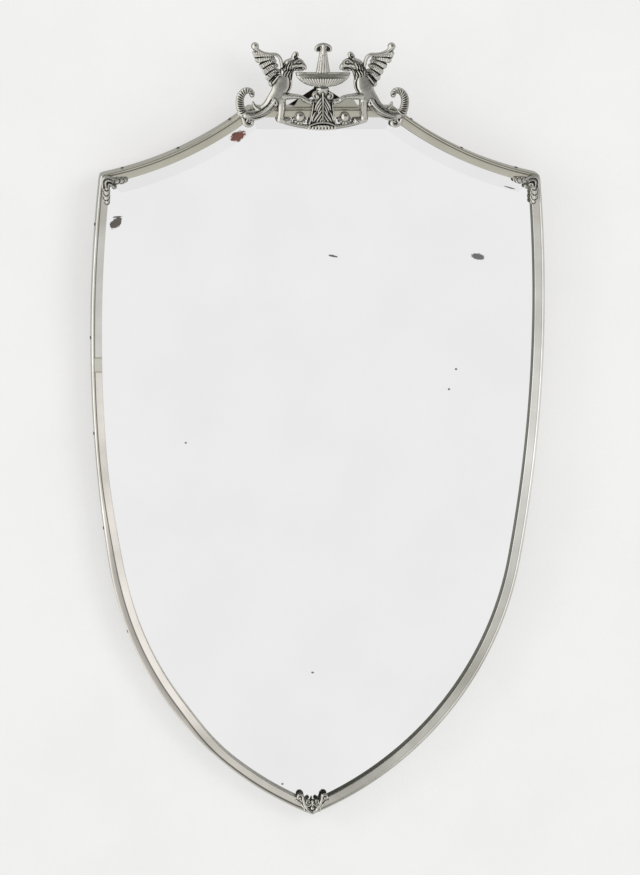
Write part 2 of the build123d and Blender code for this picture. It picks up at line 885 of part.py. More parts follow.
with BuildPart() as griffin_left:
    mirror(griffin_right.part, about=Plane.YZ)

# Cast foliage: leaves that overlap along the arms, as start, end and width shares
leaf_shares = [(0.62, 1.0, 0.36), (0.34, 0.78, 0.45), (0.08, 0.48, 0.49)]
mount_depth = frame_depth + bead_rise + mount_lift
mount_plane = front_plane(mount_depth)


def leaf_arm(centre, radius, start, length, hand=1):
    """Leaves along an arc of the face from an angle, a signed length away."""
    for n, (near, far, width) in enumerate(leaf_shares):
        ends = []
        for share in (near, far):
            x, z = on_circle(centre, radius, start + degrees(share * length / radius))
            ends.append((hand * x, z))
        depth = mount_depth + n * leaf_step
        blade(*ends, 2 * width * face_width, depth, leaf_thickness)


def dome(x, z, radius):
    """Low rounded boss that rises from the mount's plane."""
    sunk = radius * (1 - boss_flatness)
    with Locations(front_plane(mount_depth - sunk, x, z)):
        Sphere(radius)


# Corner mount: a boss on the mitre, a berry inside it and two arms of leaves
with BuildPart() as corner_mount_right:
    shoulder_start = angle_of(shoulder_centre, corner(middle))
    side_start = angle_of(side_centre, corner(middle))
    leaf_arm(shoulder_centre, shoulder_radius + middle, shoulder_start, -arm_length)
    leaf_arm(side_centre, side_radius - middle, side_start, -drop_length)
    berry_tip = corner(face_width + 2 * berry_radius)
    blade(corner(middle), berry_tip, 2 * berry_radius, mount_depth, leaf_thickness)
    dome(*corner(middle), boss_radius)
    dome(*corner(face_width + berry_radius), berry_radius)
    split(bisect_by=mount_plane, keep=Keep.TOP)

with BuildPart() as corner_mount_left:
    mirror(corner_mount_right.part, about=Plane.YZ)

# Foot mount: leaves up both flanks and a pair of volutes over the tip
with BuildPart() as foot_mount:
    foot_start = tip_angle(middle)
    for hand in (1, -1):
        leaf_arm(flank_centre, flank_radius - middle, foot_start, foot_arm_length, hand)
        dome(hand * 2 * volute_radius, tip_z(face_width), volute_radius)
    dome(0, tip_z(middle), volute_radius)
    split(bisect_by=mount_plane, keep=Keep.TOP)

sub_parts = {
    "back_panel": back_panel,
    "batten_top": batten_top,
    "batten_left": batten_left,
    "batten_right": batten_right,
    "backing_paper": backing_paper,
    "mirror_glass": mirror_glass,
    "cork_blocks": cork_blocks,
    "packing_strips": packing_strips,
    "top_bar": top_bar,
    "shoulder_left": shoulder_left,
    "shoulder_right": shoulder_right,
    "side_left_upper": side_left_upper,
    "side_left_lower": side_left_lower,
    "splice_patch": splice_patch,
    "side_right": side_right,
    "frame_nails": frame_nails,
    "panel_screws": panel_screws,
    "corner_mount_left": corner_mount_left,
    "corner_mount_right": corner_mount_right,
    "foot_mount": foot_mount,
    "crest_stay": crest_stay,
    "crest_rail": crest_rail,
    "griffin_left": griffin_left,
    "griffin_right": griffin_right,
    "fountain_pedestal": fountain_pedestal,
    "fountain_basin": fountain_basin,
    "water_jet": water_jet,
    "rosette_left": rosette_left,
    "rosette_right": rosette_right,
    "crest_rivets": crest_rivets,
    "loop_keeper": loop_keeper,
    "keeper_screws": keeper_screws,
    "hanging_loop": hanging_loop,
}

os.makedirs("parts", exist_ok=True)
for name, sub_part in sub_parts.items():
    sub_part.part.label = name
    export_step(sub_part.part, f"parts/{name}.step")
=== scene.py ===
"""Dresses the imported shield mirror: strip frame, cast crest and mounts, silvered plate, back and loop."""
import logging
import math
from dataclasses import dataclass, field
from enum import Enum
from typing import Any, Callable, Optional, Sequence

import bpy
import numpy as np
from mathutils import Matrix, Vector


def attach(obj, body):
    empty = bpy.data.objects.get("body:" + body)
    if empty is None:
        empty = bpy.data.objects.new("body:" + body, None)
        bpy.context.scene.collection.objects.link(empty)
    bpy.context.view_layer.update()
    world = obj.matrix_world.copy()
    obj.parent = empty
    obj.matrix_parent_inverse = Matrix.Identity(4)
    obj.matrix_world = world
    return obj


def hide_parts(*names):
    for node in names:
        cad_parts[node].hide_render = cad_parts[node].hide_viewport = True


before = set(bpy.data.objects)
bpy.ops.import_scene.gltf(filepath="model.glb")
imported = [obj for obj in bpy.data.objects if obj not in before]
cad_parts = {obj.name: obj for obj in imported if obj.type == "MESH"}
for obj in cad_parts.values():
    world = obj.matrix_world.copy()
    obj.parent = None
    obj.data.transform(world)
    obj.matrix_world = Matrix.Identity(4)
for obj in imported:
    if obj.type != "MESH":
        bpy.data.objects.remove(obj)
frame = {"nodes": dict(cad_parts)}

LOG = logging.getLogger("shield_mirror")
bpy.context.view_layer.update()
MM = 0.001
Array = np.ndarray
Point = tuple[float, float]
Station = tuple[float, float, float]
Path = tuple[Station, ...]
Form = Callable[[Array, Array], Array]
Ramp = tuple[float, float, float]
Tree = bpy.types.NodeTree
Socket = bpy.types.NodeSocket
Node = bpy.types.Node
Thing = bpy.types.Object


# ---------------------------------------------------------------- helpers


def linear(hex_colour: str) -> tuple[float, float, float, float]:
    """Turns an sRGB hex colour into linear RGBA.

    Args:
        hex_colour: six hex digits after a hash sign.

    Returns:
        Linear red, green, blue and an alpha of 1.
    """
    parts = [int(hex_colour[n : n + 2], 16) / 255 for n in (1, 3, 5)]
    red, green, blue = (c / 12.92 if c <= 0.04045 else ((c + 0.055) / 1.055) ** 2.4 for c in parts)
    return red, green, blue, 1.0


def add_node(
    tree: Tree,
    kind: str,
    inputs: Optional[dict[Any, Any]] = None,
    **settings: Any,
) -> Node:
    """Adds a node with its settings, its values and its links.

    Args:
        tree: node tree that gets the node.
        kind: Blender's name of the node type.
        inputs: input name or number, with a value or with the socket that feeds it.
        **settings: properties of the node.

    Returns:
        The new node.
    """
    made = tree.nodes.new(kind)
    for name, value in settings.items():
        setattr(made, name, value)
    for key, value in (inputs or {}).items():
        if isinstance(value, Socket):
            tree.links.new(value, made.inputs[key])
        else:
            made.inputs[key].default_value = value
    return made


def grain(size_mm: float) -> float:
    """Noise scale whose features measure about size_mm in object space."""
    return 1 / (size_mm * MM)


# ---------------------------------------------------------------- finishes


@dataclass(frozen=True)
class Finish:
    """A surface finish: what the thing is made of and how its surface was made."""

    name: str
    colour: str
    roughness: float
    metallic: float = 0.0

    def material(self) -> bpy.types.Material:
        """Builds the finish's material, or gives back the one that was built before.

        Returns:
            The material.
        """
        found = bpy.data.materials.get(self.name)
        if found:
            return found
        made = bpy.data.materials.new(self.name)
        made.use_nodes = True
        tree = made.node_tree
        tree.nodes.clear()
        place = add_node(tree, "ShaderNodeTexCoord").outputs["Object"]
        shader = add_node(
            tree,
            "ShaderNodeBsdfPrincipled",
            {"Base Color": linear(self.colour), "Roughness": self.roughness, "Metallic": self.metallic},
        )
        add_node(tree, "ShaderNodeOutputMaterial", {"Surface": shader.outputs[0]})
        self.paint(tree, place, shader)
        return made

    def paint(self, tree: Tree, place: Socket, shader: Node) -> None:
        """Adds the finish's own pattern, bump and wear.

        Args:
            tree: the material's node tree.
            place: object coordinates, in metres.
            shader: the Principled shader.
        """

    def dress(self, *things: Thing) -> None:
        """Gives the finish to every slot of the objects."""
        for thing in things:
            if not thing.material_slots:
                thing.data.materials.append(None)
            for slot in thing.material_slots:
                slot.material = self.material()


@dataclass(frozen=True)
class RolledPewter(Finish):
    """Pewter sheet, rolled and dulled by age: soft gloss, fine lines along the strip, grey clouds."""

    tarnish: str = "#ABA99F"
    # dark colour mixed in by the recess attribute: patina in the crevices, and painted shade down the inner
    # lip and beside the bead
    crevice_patina_and_shade: str = "#4A4A3F"
    on_strip: bool = True
    # heights in mm at which the darkening toward each end begins and is full, and how much tarnish tone it
    # adds
    dull_above: Ramp = (-380.0, -80.0, 0.30)
    dull_below: Ramp = (-440.0, -740.0, 0.30)
    cloud_mm: float = 60.0
    cloud_share: float = 0.5
    clean_below: float = 0.20
    dull_from: float = 0.64
    # real rolling lines are far finer, and these are as coarse as they need to be to show at arm's length
    line_length_mm: float = 60.0
    line_pitch_mm: float = 0.6
    line_depth_mm: float = 0.05
    smoother: float = 0.05
    rougher: float = 0.09
    oxide_rougher: float = 0.3
    dent_mm: float = 30.0
    dent_depth_mm: float = 0.7
    pit_mm: float = 1.4
    pit_depth_mm: float = 0.04

    def paint(self, tree: Tree, place: Socket, shader: Node) -> None:
        """Clouds of tarnish, darkening toward both ends, rolling lines, dents a few centimetres long, and
        patina with painted shade in the crevices.

        Args:
            tree: the material's node tree.
            place: object coordinates, in metres.
            shader: the Principled shader.
        """
        cloud = add_node(
            tree,
            "ShaderNodeTexNoise",
            {"Vector": place, "Scale": grain(self.cloud_mm), "Detail": 4.0, "Roughness": 0.55},
        )
        # the strip is brightest near the middle of the mirror's height and darker toward both ends
        height = add_node(tree, "ShaderNodeSeparateXYZ", {0: place})
        both = cloud.outputs["Fac"]
        share = self.cloud_share
        for first, last, amount in (self.dull_above, self.dull_below):
            ramp = add_node(
                tree,
                "ShaderNodeMapRange",
                {0: height.outputs["Z"], "From Min": first * MM, "From Max": last * MM, "To Max": amount},
                clamp=True,
            )
            both = add_node(
                tree, "ShaderNodeMath", {0: both, 1: share, 2: ramp.outputs[0]}, operation="MULTIPLY_ADD"
            ).outputs[0]
            share = 1.0
        level = add_node(
            tree,
            "ShaderNodeMapRange",
            {0: both, "From Min": self.clean_below, "From Max": self.dull_from},
            clamp=True,
        )
        tone = add_node(
            tree,
            "ShaderNodeMix",
            {"Factor": level.outputs[0], 6: linear(self.colour), 7: linear(self.tarnish)},
            data_type="RGBA",
        )
        # the recess attribute mixes in the crevice colour: patina, and painted shade along the lip and
        # beside the bead
        cavity = add_node(tree, "ShaderNodeAttribute", attribute_name="recess")
        toned_with_patina_and_shade = add_node(
            tree,
            "ShaderNodeMix",
            {"Factor": cavity.outputs["Fac"], 6: tone.outputs[2], 7: linear(self.crevice_patina_and_shade)},
            data_type="RGBA",
        )
        tree.links.new(toned_with_patina_and_shade.outputs[2], shader.inputs["Base Color"])
        if self.on_strip:
            run = add_node(tree, "ShaderNodeUVMap", uv_map="strip").outputs[0]
        else:
            run = place
        long, fine_pitch = 1 / self.line_length_mm, 1 / self.line_pitch_mm
        stretch = add_node(
            tree, "ShaderNodeMapping", {"Vector": run, "Scale": (long, fine_pitch, fine_pitch)}
        )
        lines = add_node(
            tree, "ShaderNodeTexNoise", {"Vector": stretch.outputs[0], "Scale": grain(1), "Detail": 3.0}
        )
        rough = add_node(
            tree,
            "ShaderNodeMapRange",
            {
                0: lines.outputs["Fac"],
                "From Min": 0.3,
                "From Max": 0.7,
                "To Min": self.roughness - self.smoother,
                "To Max": self.roughness + self.rougher,
            },
        )
        worn = add_node(
            tree,
            "ShaderNodeMath",
            {0: cavity.outputs["Fac"], 1: self.oxide_rougher, 2: rough.outputs[0]},
            operation="MULTIPLY_ADD",
        )
        tree.links.new(worn.outputs[0], shader.inputs["Roughness"])
        fine = add_node(
            tree,
            "ShaderNodeBump",
            {"Height": lines.outputs["Fac"], "Strength": 0.22, "Distance": self.line_depth_mm * MM},
        )
        dent = add_node(
            tree, "ShaderNodeTexNoise", {"Vector": place, "Scale": grain(self.dent_mm), "Detail": 1.5}
        )
        deep = add_node(
            tree,
            "ShaderNodeBump",
            {
                "Height": dent.outputs["Fac"],
                "Strength": 1.0,
                "Distance": self.dent_depth_mm * MM,
                "Normal": fine.outputs[0],
            },
        )
        pit = add_node(
            tree,
            "ShaderNodeTexNoise",
            {"Vector": place, "Scale": grain(self.pit_mm), "Detail": 4.0, "Roughness": 0.7},
        )
        skin = add_node(
            tree,
            "ShaderNodeBump",
            {
                "Height": pit.outputs["Fac"],
                "Strength": 0.5,
                "Distance": self.pit_depth_mm * MM,
                "Normal": deep.outputs[0],
            },
        )
        tree.links.new(skin.outputs[0], shader.inputs["Normal"])


@dataclass(frozen=True)
class SolderedPatch(RolledPewter):
    """A patch of pewter sheet wiped over with solder: yellower, with a dull seam along both ends."""

    seam: str = "#9C978C"
    middle_z: float = -303.5
    half_length: float = 8.5
    seam_width: float = 2.2

    def paint(self, tree: Tree, place: Socket, shader: Node) -> None:
        """The rolled sheet, then the solder seams.

        Args:
            tree: the material's node tree.
            place: object coordinates, in metres.
            shader: the Principled shader.
        """
        super().paint(tree, place, shader)
        sheet = shader.inputs["Base Color"].links[0].from_socket
        height = add_node(tree, "ShaderNodeSeparateXYZ", {0: place})
        away = add_node(
            tree, "ShaderNodeMath", {0: height.outputs["Z"], 1: self.middle_z * MM}, operation="SUBTRACT"
        )
        reach = add_node(tree, "ShaderNodeMath", {0: away.outputs[0]}, operation="ABSOLUTE")
        end = self.half_length * MM
        seam = add_node(
            tree,
            "ShaderNodeMapRange",
            {0: reach.outputs[0], "From Min": end - self.seam_width * MM, "From Max": end},
            clamp=True,
        )
        wiped = add_node(
            tree,
            "ShaderNodeMix",
            {"Factor": seam.outputs[0], 6: sheet, 7: linear(self.seam)},
            data_type="RGBA",
        )
        tree.links.new(wiped.outputs[2], shader.inputs["Base Color"])


@dataclass(frozen=True)
class CastPewter(Finish):
    """Pewter cast in a mould and rubbed bright: shiny crowns, dark oxide in the recesses, a gritty skin."""

    recess: str = "#47453F"
    speck_mm: float = 2.2
    speck_share: float = 0.34
    bright_below: float = 0.36
    dark_from: float = 0.92
    oxide_rougher: float = 0.32
    grit_mm: float = 0.9
    grit_depth_mm: float = 0.09
    wave_mm: float = 5.0
    wave_depth_mm: float = 0.5

    def paint(self, tree: Tree, place: Socket, shader: Node) -> None:
        """Oxide by the recess attribute that the relief carries, which also paints an even shade on the
        plain breast, and the mould's grain.

        Args:
            tree: the material's node tree.
            place: object coordinates, in metres.
            shader: the Principled shader.
        """
        cavity = add_node(tree, "ShaderNodeAttribute", attribute_name="recess")
        speck = add_node(
            tree,
            "ShaderNodeTexNoise",
            {"Vector": place, "Scale": grain(self.speck_mm), "Detail": 5.0, "Roughness": 0.65},
        )
        mixed = add_node(
            tree,
            "ShaderNodeMath",
            {0: speck.outputs["Fac"], 1: self.speck_share, 2: cavity.outputs["Fac"]},
            operation="MULTIPLY_ADD",
        )
        dark = add_node(
            tree,
            "ShaderNodeMapRange",
            {0: mixed.outputs[0], "From Min": self.bright_below, "From Max": self.dark_from},
            clamp=True,
        )
        tone = add_node(
            tree,
            "ShaderNodeMix",
            {"Factor": dark.outputs[0], 6: linear(self.colour), 7: linear(self.recess)},
            data_type="RGBA",
        )
        tree.links.new(tone.outputs[2], shader.inputs["Base Color"])
        rough = add_node(
            tree,
            "ShaderNodeMapRange",
            {0: dark.outputs[0], "To Min": self.roughness, "To Max": self.roughness + self.oxide_rougher},
        )
        tree.links.new(rough.outputs[0], shader.inputs["Roughness"])
        grit = add_node(
            tree,
            "ShaderNodeTexNoise",
            {"Vector": place, "Scale": grain(self.grit_mm), "Detail": 4.0, "Roughness": 0.6},
        )
        skin = add_node(
            tree,
            "ShaderNodeBump",
            {"Height": grit.outputs["Fac"], "Strength": 0.55, "Distance": self.grit_depth_mm * MM},
        )
        wave = add_node(
            tree, "ShaderNodeTexNoise", {"Vector": place, "Scale": grain(self.wave_mm), "Detail": 2.0}
        )
        soft = add_node(
            tree,
            "ShaderNodeBump",
            {
                "Height": wave.outputs["Fac"],
                "Strength": 0.5,
                "Distance": self.wave_depth_mm * MM,
                "Normal": skin.outputs[0],
            },
        )
        tree.links.new(soft.outputs[0], shader.inputs["Normal"])


@dataclass(frozen=True)
class Blemish:
    """A place without its silvering: centre, half sizes in mm, colour, and turn in degrees."""

    x: float
    z: float
    half_x: float
    half_z: float
    colour: str
    turn: float = 0.0


@dataclass(frozen=True)
class SilveredPlate(Finish):
    """Plate glass silvered on the back: a clear mirror, faintly mottled, with a few bare places."""

    blemishes: tuple[Blemish, ...] = ()
    mottle: str = "#EFF0EF"
    mottle_mm: float = 90.0
    ragged_mm: float = 3.2
    ragged_share: float = 1.5
    silvered_from: float = 1.80
    lost_below: float = 1.62
    bare_roughness: float = 0.35
    draw_mm: float = 160.0
    draw_depth_mm: float = 0.3

    def paint(self, tree: Tree, place: Socket, shader: Node) -> None:
        """Mottling of the silver, then each blemish with its ragged edge.

        Args:
            tree: the material's node tree.
            place: object coordinates, in metres.
            shader: the Principled shader.
        """
        cloud = add_node(
            tree, "ShaderNodeTexNoise", {"Vector": place, "Scale": grain(self.mottle_mm), "Detail": 4.0}
        )
        mottle = add_node(
            tree,
            "ShaderNodeMix",
            {"Factor": cloud.outputs["Fac"], 6: linear(self.colour), 7: linear(self.mottle)},
            data_type="RGBA",
        )
        ragged = add_node(
            tree,
            "ShaderNodeTexNoise",
            {"Vector": place, "Scale": grain(self.ragged_mm), "Detail": 5.0, "Roughness": 0.75},
        )
        colour = mottle.outputs[2]
        lost = None
        for mark in self.blemishes:
            turn = add_node(
                tree,
                "ShaderNodeMapping",
                {
                    "Vector": place,
                    "Location": (mark.x * MM, 0.0, mark.z * MM),
                    "Rotation": (0.0, math.radians(-mark.turn), 0.0),
                    "Scale": (mark.half_x * MM, 1000.0, mark.half_z * MM),
                },
                vector_type="TEXTURE",
            )
            reach = add_node(tree, "ShaderNodeVectorMath", {0: turn.outputs[0]}, operation="LENGTH")
            edge = add_node(
                tree,
                "ShaderNodeMath",
                {0: ragged.outputs["Fac"], 1: self.ragged_share, 2: reach.outputs["Value"]},
                operation="MULTIPLY_ADD",
            )
            inside = add_node(
                tree,
                "ShaderNodeMapRange",
                {0: edge.outputs[0], "From Min": self.silvered_from, "From Max": self.lost_below},
                clamp=True,
            )
            painted = add_node(
                tree,
                "ShaderNodeMix",
                {"Factor": inside.outputs[0], 6: colour, 7: linear(mark.colour)},
                data_type="RGBA",
            )
            colour = painted.outputs[2]
            if lost is None:
                lost = inside.outputs[0]
            else:
                lost = add_node(
                    tree, "ShaderNodeMath", {0: lost, 1: inside.outputs[0]}, operation="MAXIMUM"
                ).outputs[0]
        tree.links.new(colour, shader.inputs["Base Color"])
        if lost is not None:
            bare = add_node(tree, "ShaderNodeMath", {0: 1.0, 1: lost}, operation="SUBTRACT")
            tree.links.new(bare.outputs[0], shader.inputs["Metallic"])
            dull = add_node(
                tree,
                "ShaderNodeMapRange",
                {0: lost, "To Min": self.roughness, "To Max": self.bare_roughness},
            )
            tree.links.new(dull.outputs[0], shader.inputs["Roughness"])
        ripple = add_node(
            tree, "ShaderNodeTexNoise", {"Vector": place, "Scale": grain(self.draw_mm), "Detail": 1.0}
        )
        draw = add_node(
            tree,
            "ShaderNodeBump",
            {"Height": ripple.outputs["Fac"], "Strength": 0.2, "Distance": self.draw_depth_mm * MM},
        )
        tree.links.new(draw.outputs[0], shader.inputs["Normal"])


@dataclass(frozen=True)
class Grained(Finish):
    """Sawn or planed wood: long grain along one axis, pores and a rough, dry surface."""

    late: str = "#6B4A2C"
    across_mm: float = 2.4
    along_mm: float = 60.0
    depth_mm: float = 0.12
    rings_per_m: float = 260.0
    fibres_per_m: float = 1700.0
    spread: float = 0.12

    def paint(self, tree: Tree, place: Socket, shader: Node) -> None:
        """Growth rings, fibres and saw marks.

        Args:
            tree: the material's node tree.
            place: object coordinates, in metres.
            shader: the Principled shader.
        """
        long = add_node(
            tree,
            "ShaderNodeMapping",
            {"Vector": place, "Scale": (1 / self.across_mm, 1 / self.across_mm, 1 / self.along_mm)},
        )
        ring = add_node(
            tree,
            "ShaderNodeTexNoise",
            {"Vector": long.outputs[0], "Scale": self.rings_per_m, "Detail": 3.0, "Distortion": 0.6},
        )
        fibre = add_node(
            tree,
            "ShaderNodeTexNoise",
            {"Vector": long.outputs[0], "Scale": self.fibres_per_m, "Detail": 4.0},
        )
        level = add_node(
            tree,
            "ShaderNodeMapRange",
            {0: ring.outputs["Fac"], "From Min": 0.35, "From Max": 0.65},
            clamp=True,
        )
        tone = add_node(
            tree,
            "ShaderNodeMix",
            {"Factor": level.outputs[0], 6: linear(self.colour), 7: linear(self.late)},
            data_type="RGBA",
        )
        tree.links.new(tone.outputs[2], shader.inputs["Base Color"])
        rough = add_node(
            tree,
            "ShaderNodeMapRange",
            {
                0: fibre.outputs["Fac"],
                "To Min": self.roughness - self.spread,
                "To Max": self.roughness + self.spread,
            },
        )
        tree.links.new(rough.outputs[0], shader.inputs["Roughness"])
        lift = add_node(
            tree,
            "ShaderNodeBump",
            {"Height": fibre.outputs["Fac"], "Strength": 0.7, "Distance": self.depth_mm * MM},
        )
        tree.links.new(lift.outputs[0], shader.inputs["Normal"])


@dataclass(frozen=True)
class Mottled(Finish):
    """Two tones in patches and a bumpy skin: iron, paper, cork, steel, brass, plaster or screed."""

    second: str = "#000000"
    patch_mm: float = 8.0
    skin_mm: float = 1.0
    depth_mm: float = 0.1
    spread: float = 0.1
    first_below: float = 0.4
    second_from: float = 0.66

    def paint(self, tree: Tree, place: Socket, shader: Node) -> None:
        """Patches of the second tone, roughness that follows them, and the skin's bump.

        Args:
            tree: the material's node tree.
            place: object coordinates, in metres.
            shader: the Principled shader.
        """
        patch = add_node(
            tree,
            "ShaderNodeTexNoise",
            {"Vector": place, "Scale": grain(self.patch_mm), "Detail": 5.0, "Roughness": 0.6},
        )
        level = add_node(
            tree,
            "ShaderNodeMapRange",
            {0: patch.outputs["Fac"], "From Min": self.first_below, "From Max": self.second_from},
            clamp=True,
        )
        tone = add_node(
            tree,
            "ShaderNodeMix",
            {"Factor": level.outputs[0], 6: linear(self.colour), 7: linear(self.second)},
            data_type="RGBA",
        )
        tree.links.new(tone.outputs[2], shader.inputs["Base Color"])
        rough = add_node(
            tree,
            "ShaderNodeMapRange",
            {
                0: patch.outputs["Fac"],
                "To Min": self.roughness - self.spread,
                "To Max": self.roughness + self.spread,
            },
        )
        tree.links.new(rough.outputs[0], shader.inputs["Roughness"])
        skin = add_node(
            tree,
            "ShaderNodeTexNoise",
            {"Vector": place, "Scale": grain(self.skin_mm), "Detail": 4.0, "Roughness": 0.6},
        )
        lift = add_node(
            tree,
            "ShaderNodeBump",
            {"Height": skin.outputs["Fac"], "Strength": 0.8, "Distance": self.depth_mm * MM},
        )
        tree.links.new(lift.outputs[0], shader.inputs["Normal"])


# rolled pewter in a tone for each length: the sides brightest, the bar and shoulders duller, the stay plate
# dullest
STRIP = RolledPewter("rolled_pewter_strip", "#EAE8E3", 0.23, 1.0, tarnish="#ACAAA1")
RIGHT_STRIP = RolledPewter(
    "rolled_pewter_strip_right", "#EAE8E3", 0.23, 1.0, tarnish="#ACAAA1", dull_below=(-400.0, -660.0, 0.32)
)
LOWER_LEFT_STRIP = RolledPewter(
    "rolled_pewter_strip_lower_left",
    "#FBF5ED",
    0.23,
    1.0,
    tarnish="#ACAAA1",
    dull_above=(-560.0, -460.0, 0.10),
    dull_below=(-708.0, -730.0, 0.22),
)
TOP_STRIP = RolledPewter("rolled_pewter_strip_top", "#D6D3C8", 0.27, 1.0, tarnish="#B4B1A3")
SHEET = RolledPewter("rolled_pewter_sheet", "#C4C3B9", 0.33, 1.0, tarnish="#A9A79B", on_strip=False)
PATCH = SolderedPatch("solder_wiped_pewter", "#DAD8CD", 0.31, 1.0, tarnish="#C2BEB2", on_strip=False)
# cast pewter: bright crowns over dark hollows, so the relief reads at a distance
CASTING = CastPewter("cast_pewter_rubbed", "#BFBDB6", 0.26, 1.0)
# wood, paper and cork behind the plate: dry and matt, browned by age
BOARD = Grained("planed_board_aged", "#7B5C3D", 0.72, late="#573D27", across_mm=1.7, along_mm=90.0)
BATTEN = Grained("sawn_pine", "#B08C5E", 0.78, late="#7D5C38")
PAPER = Mottled(
    "brown_backing_paper", "#9A7F5C", 0.85, second="#7E6546", patch_mm=30.0, skin_mm=0.6, depth_mm=0.05
)
CORK = Mottled("cork_block", "#A97F52", 0.85, second="#5D3F24", patch_mm=2.0, skin_mm=0.8, depth_mm=0.2)
# loop and fasteners: black iron with traces of rust, dulled steel and tarnished brass
IRON = Mottled(
    "forged_black_iron",
    "#1B1A19",
    0.48,
    0.6,
    second="#3A2A20",
    patch_mm=6.0,
    skin_mm=1.1,
    depth_mm=0.12,
    spread=0.16,
)
STEEL = Mottled(
    "drawn_steel_dulled", "#6E6A63", 0.42, 1.0, second="#4A3B2E", patch_mm=1.6, skin_mm=0.5, depth_mm=0.04
)
BRASS = Mottled(
    "turned_brass_tarnished",
    "#9A7B3E",
    0.36,
    1.0,
    second="#5C4522",
    patch_mm=1.8,
    skin_mm=0.5,
    depth_mm=0.04,
)
# studio: pale and even, so that the pewter and the plate reflect little of it
FLOORING = Mottled(
    "pale_screed_floor", "#ECECEA", 0.8, second="#E4E4E1", patch_mm=200.0, skin_mm=6.0, depth_mm=0.2
)
PLASTER = Mottled(
    "white_lime_plaster",
    "#8E8E8D",
    0.9,
    second="#898988",
    patch_mm=140.0,
    skin_mm=5.0,
    depth_mm=0.35,
    spread=0.03,
)


# ---------------------------------------------------------------- outline and strip


class Stretch(Enum):
    """A length of the frame's outline, on the right half or mirrored."""

    BAR = "bar"
    SHOULDER = "shoulder"
    SIDE = "side"
    SIDE_ABOVE_SPLICE = "upper"
    SIDE_BELOW_SPLICE = "lower"


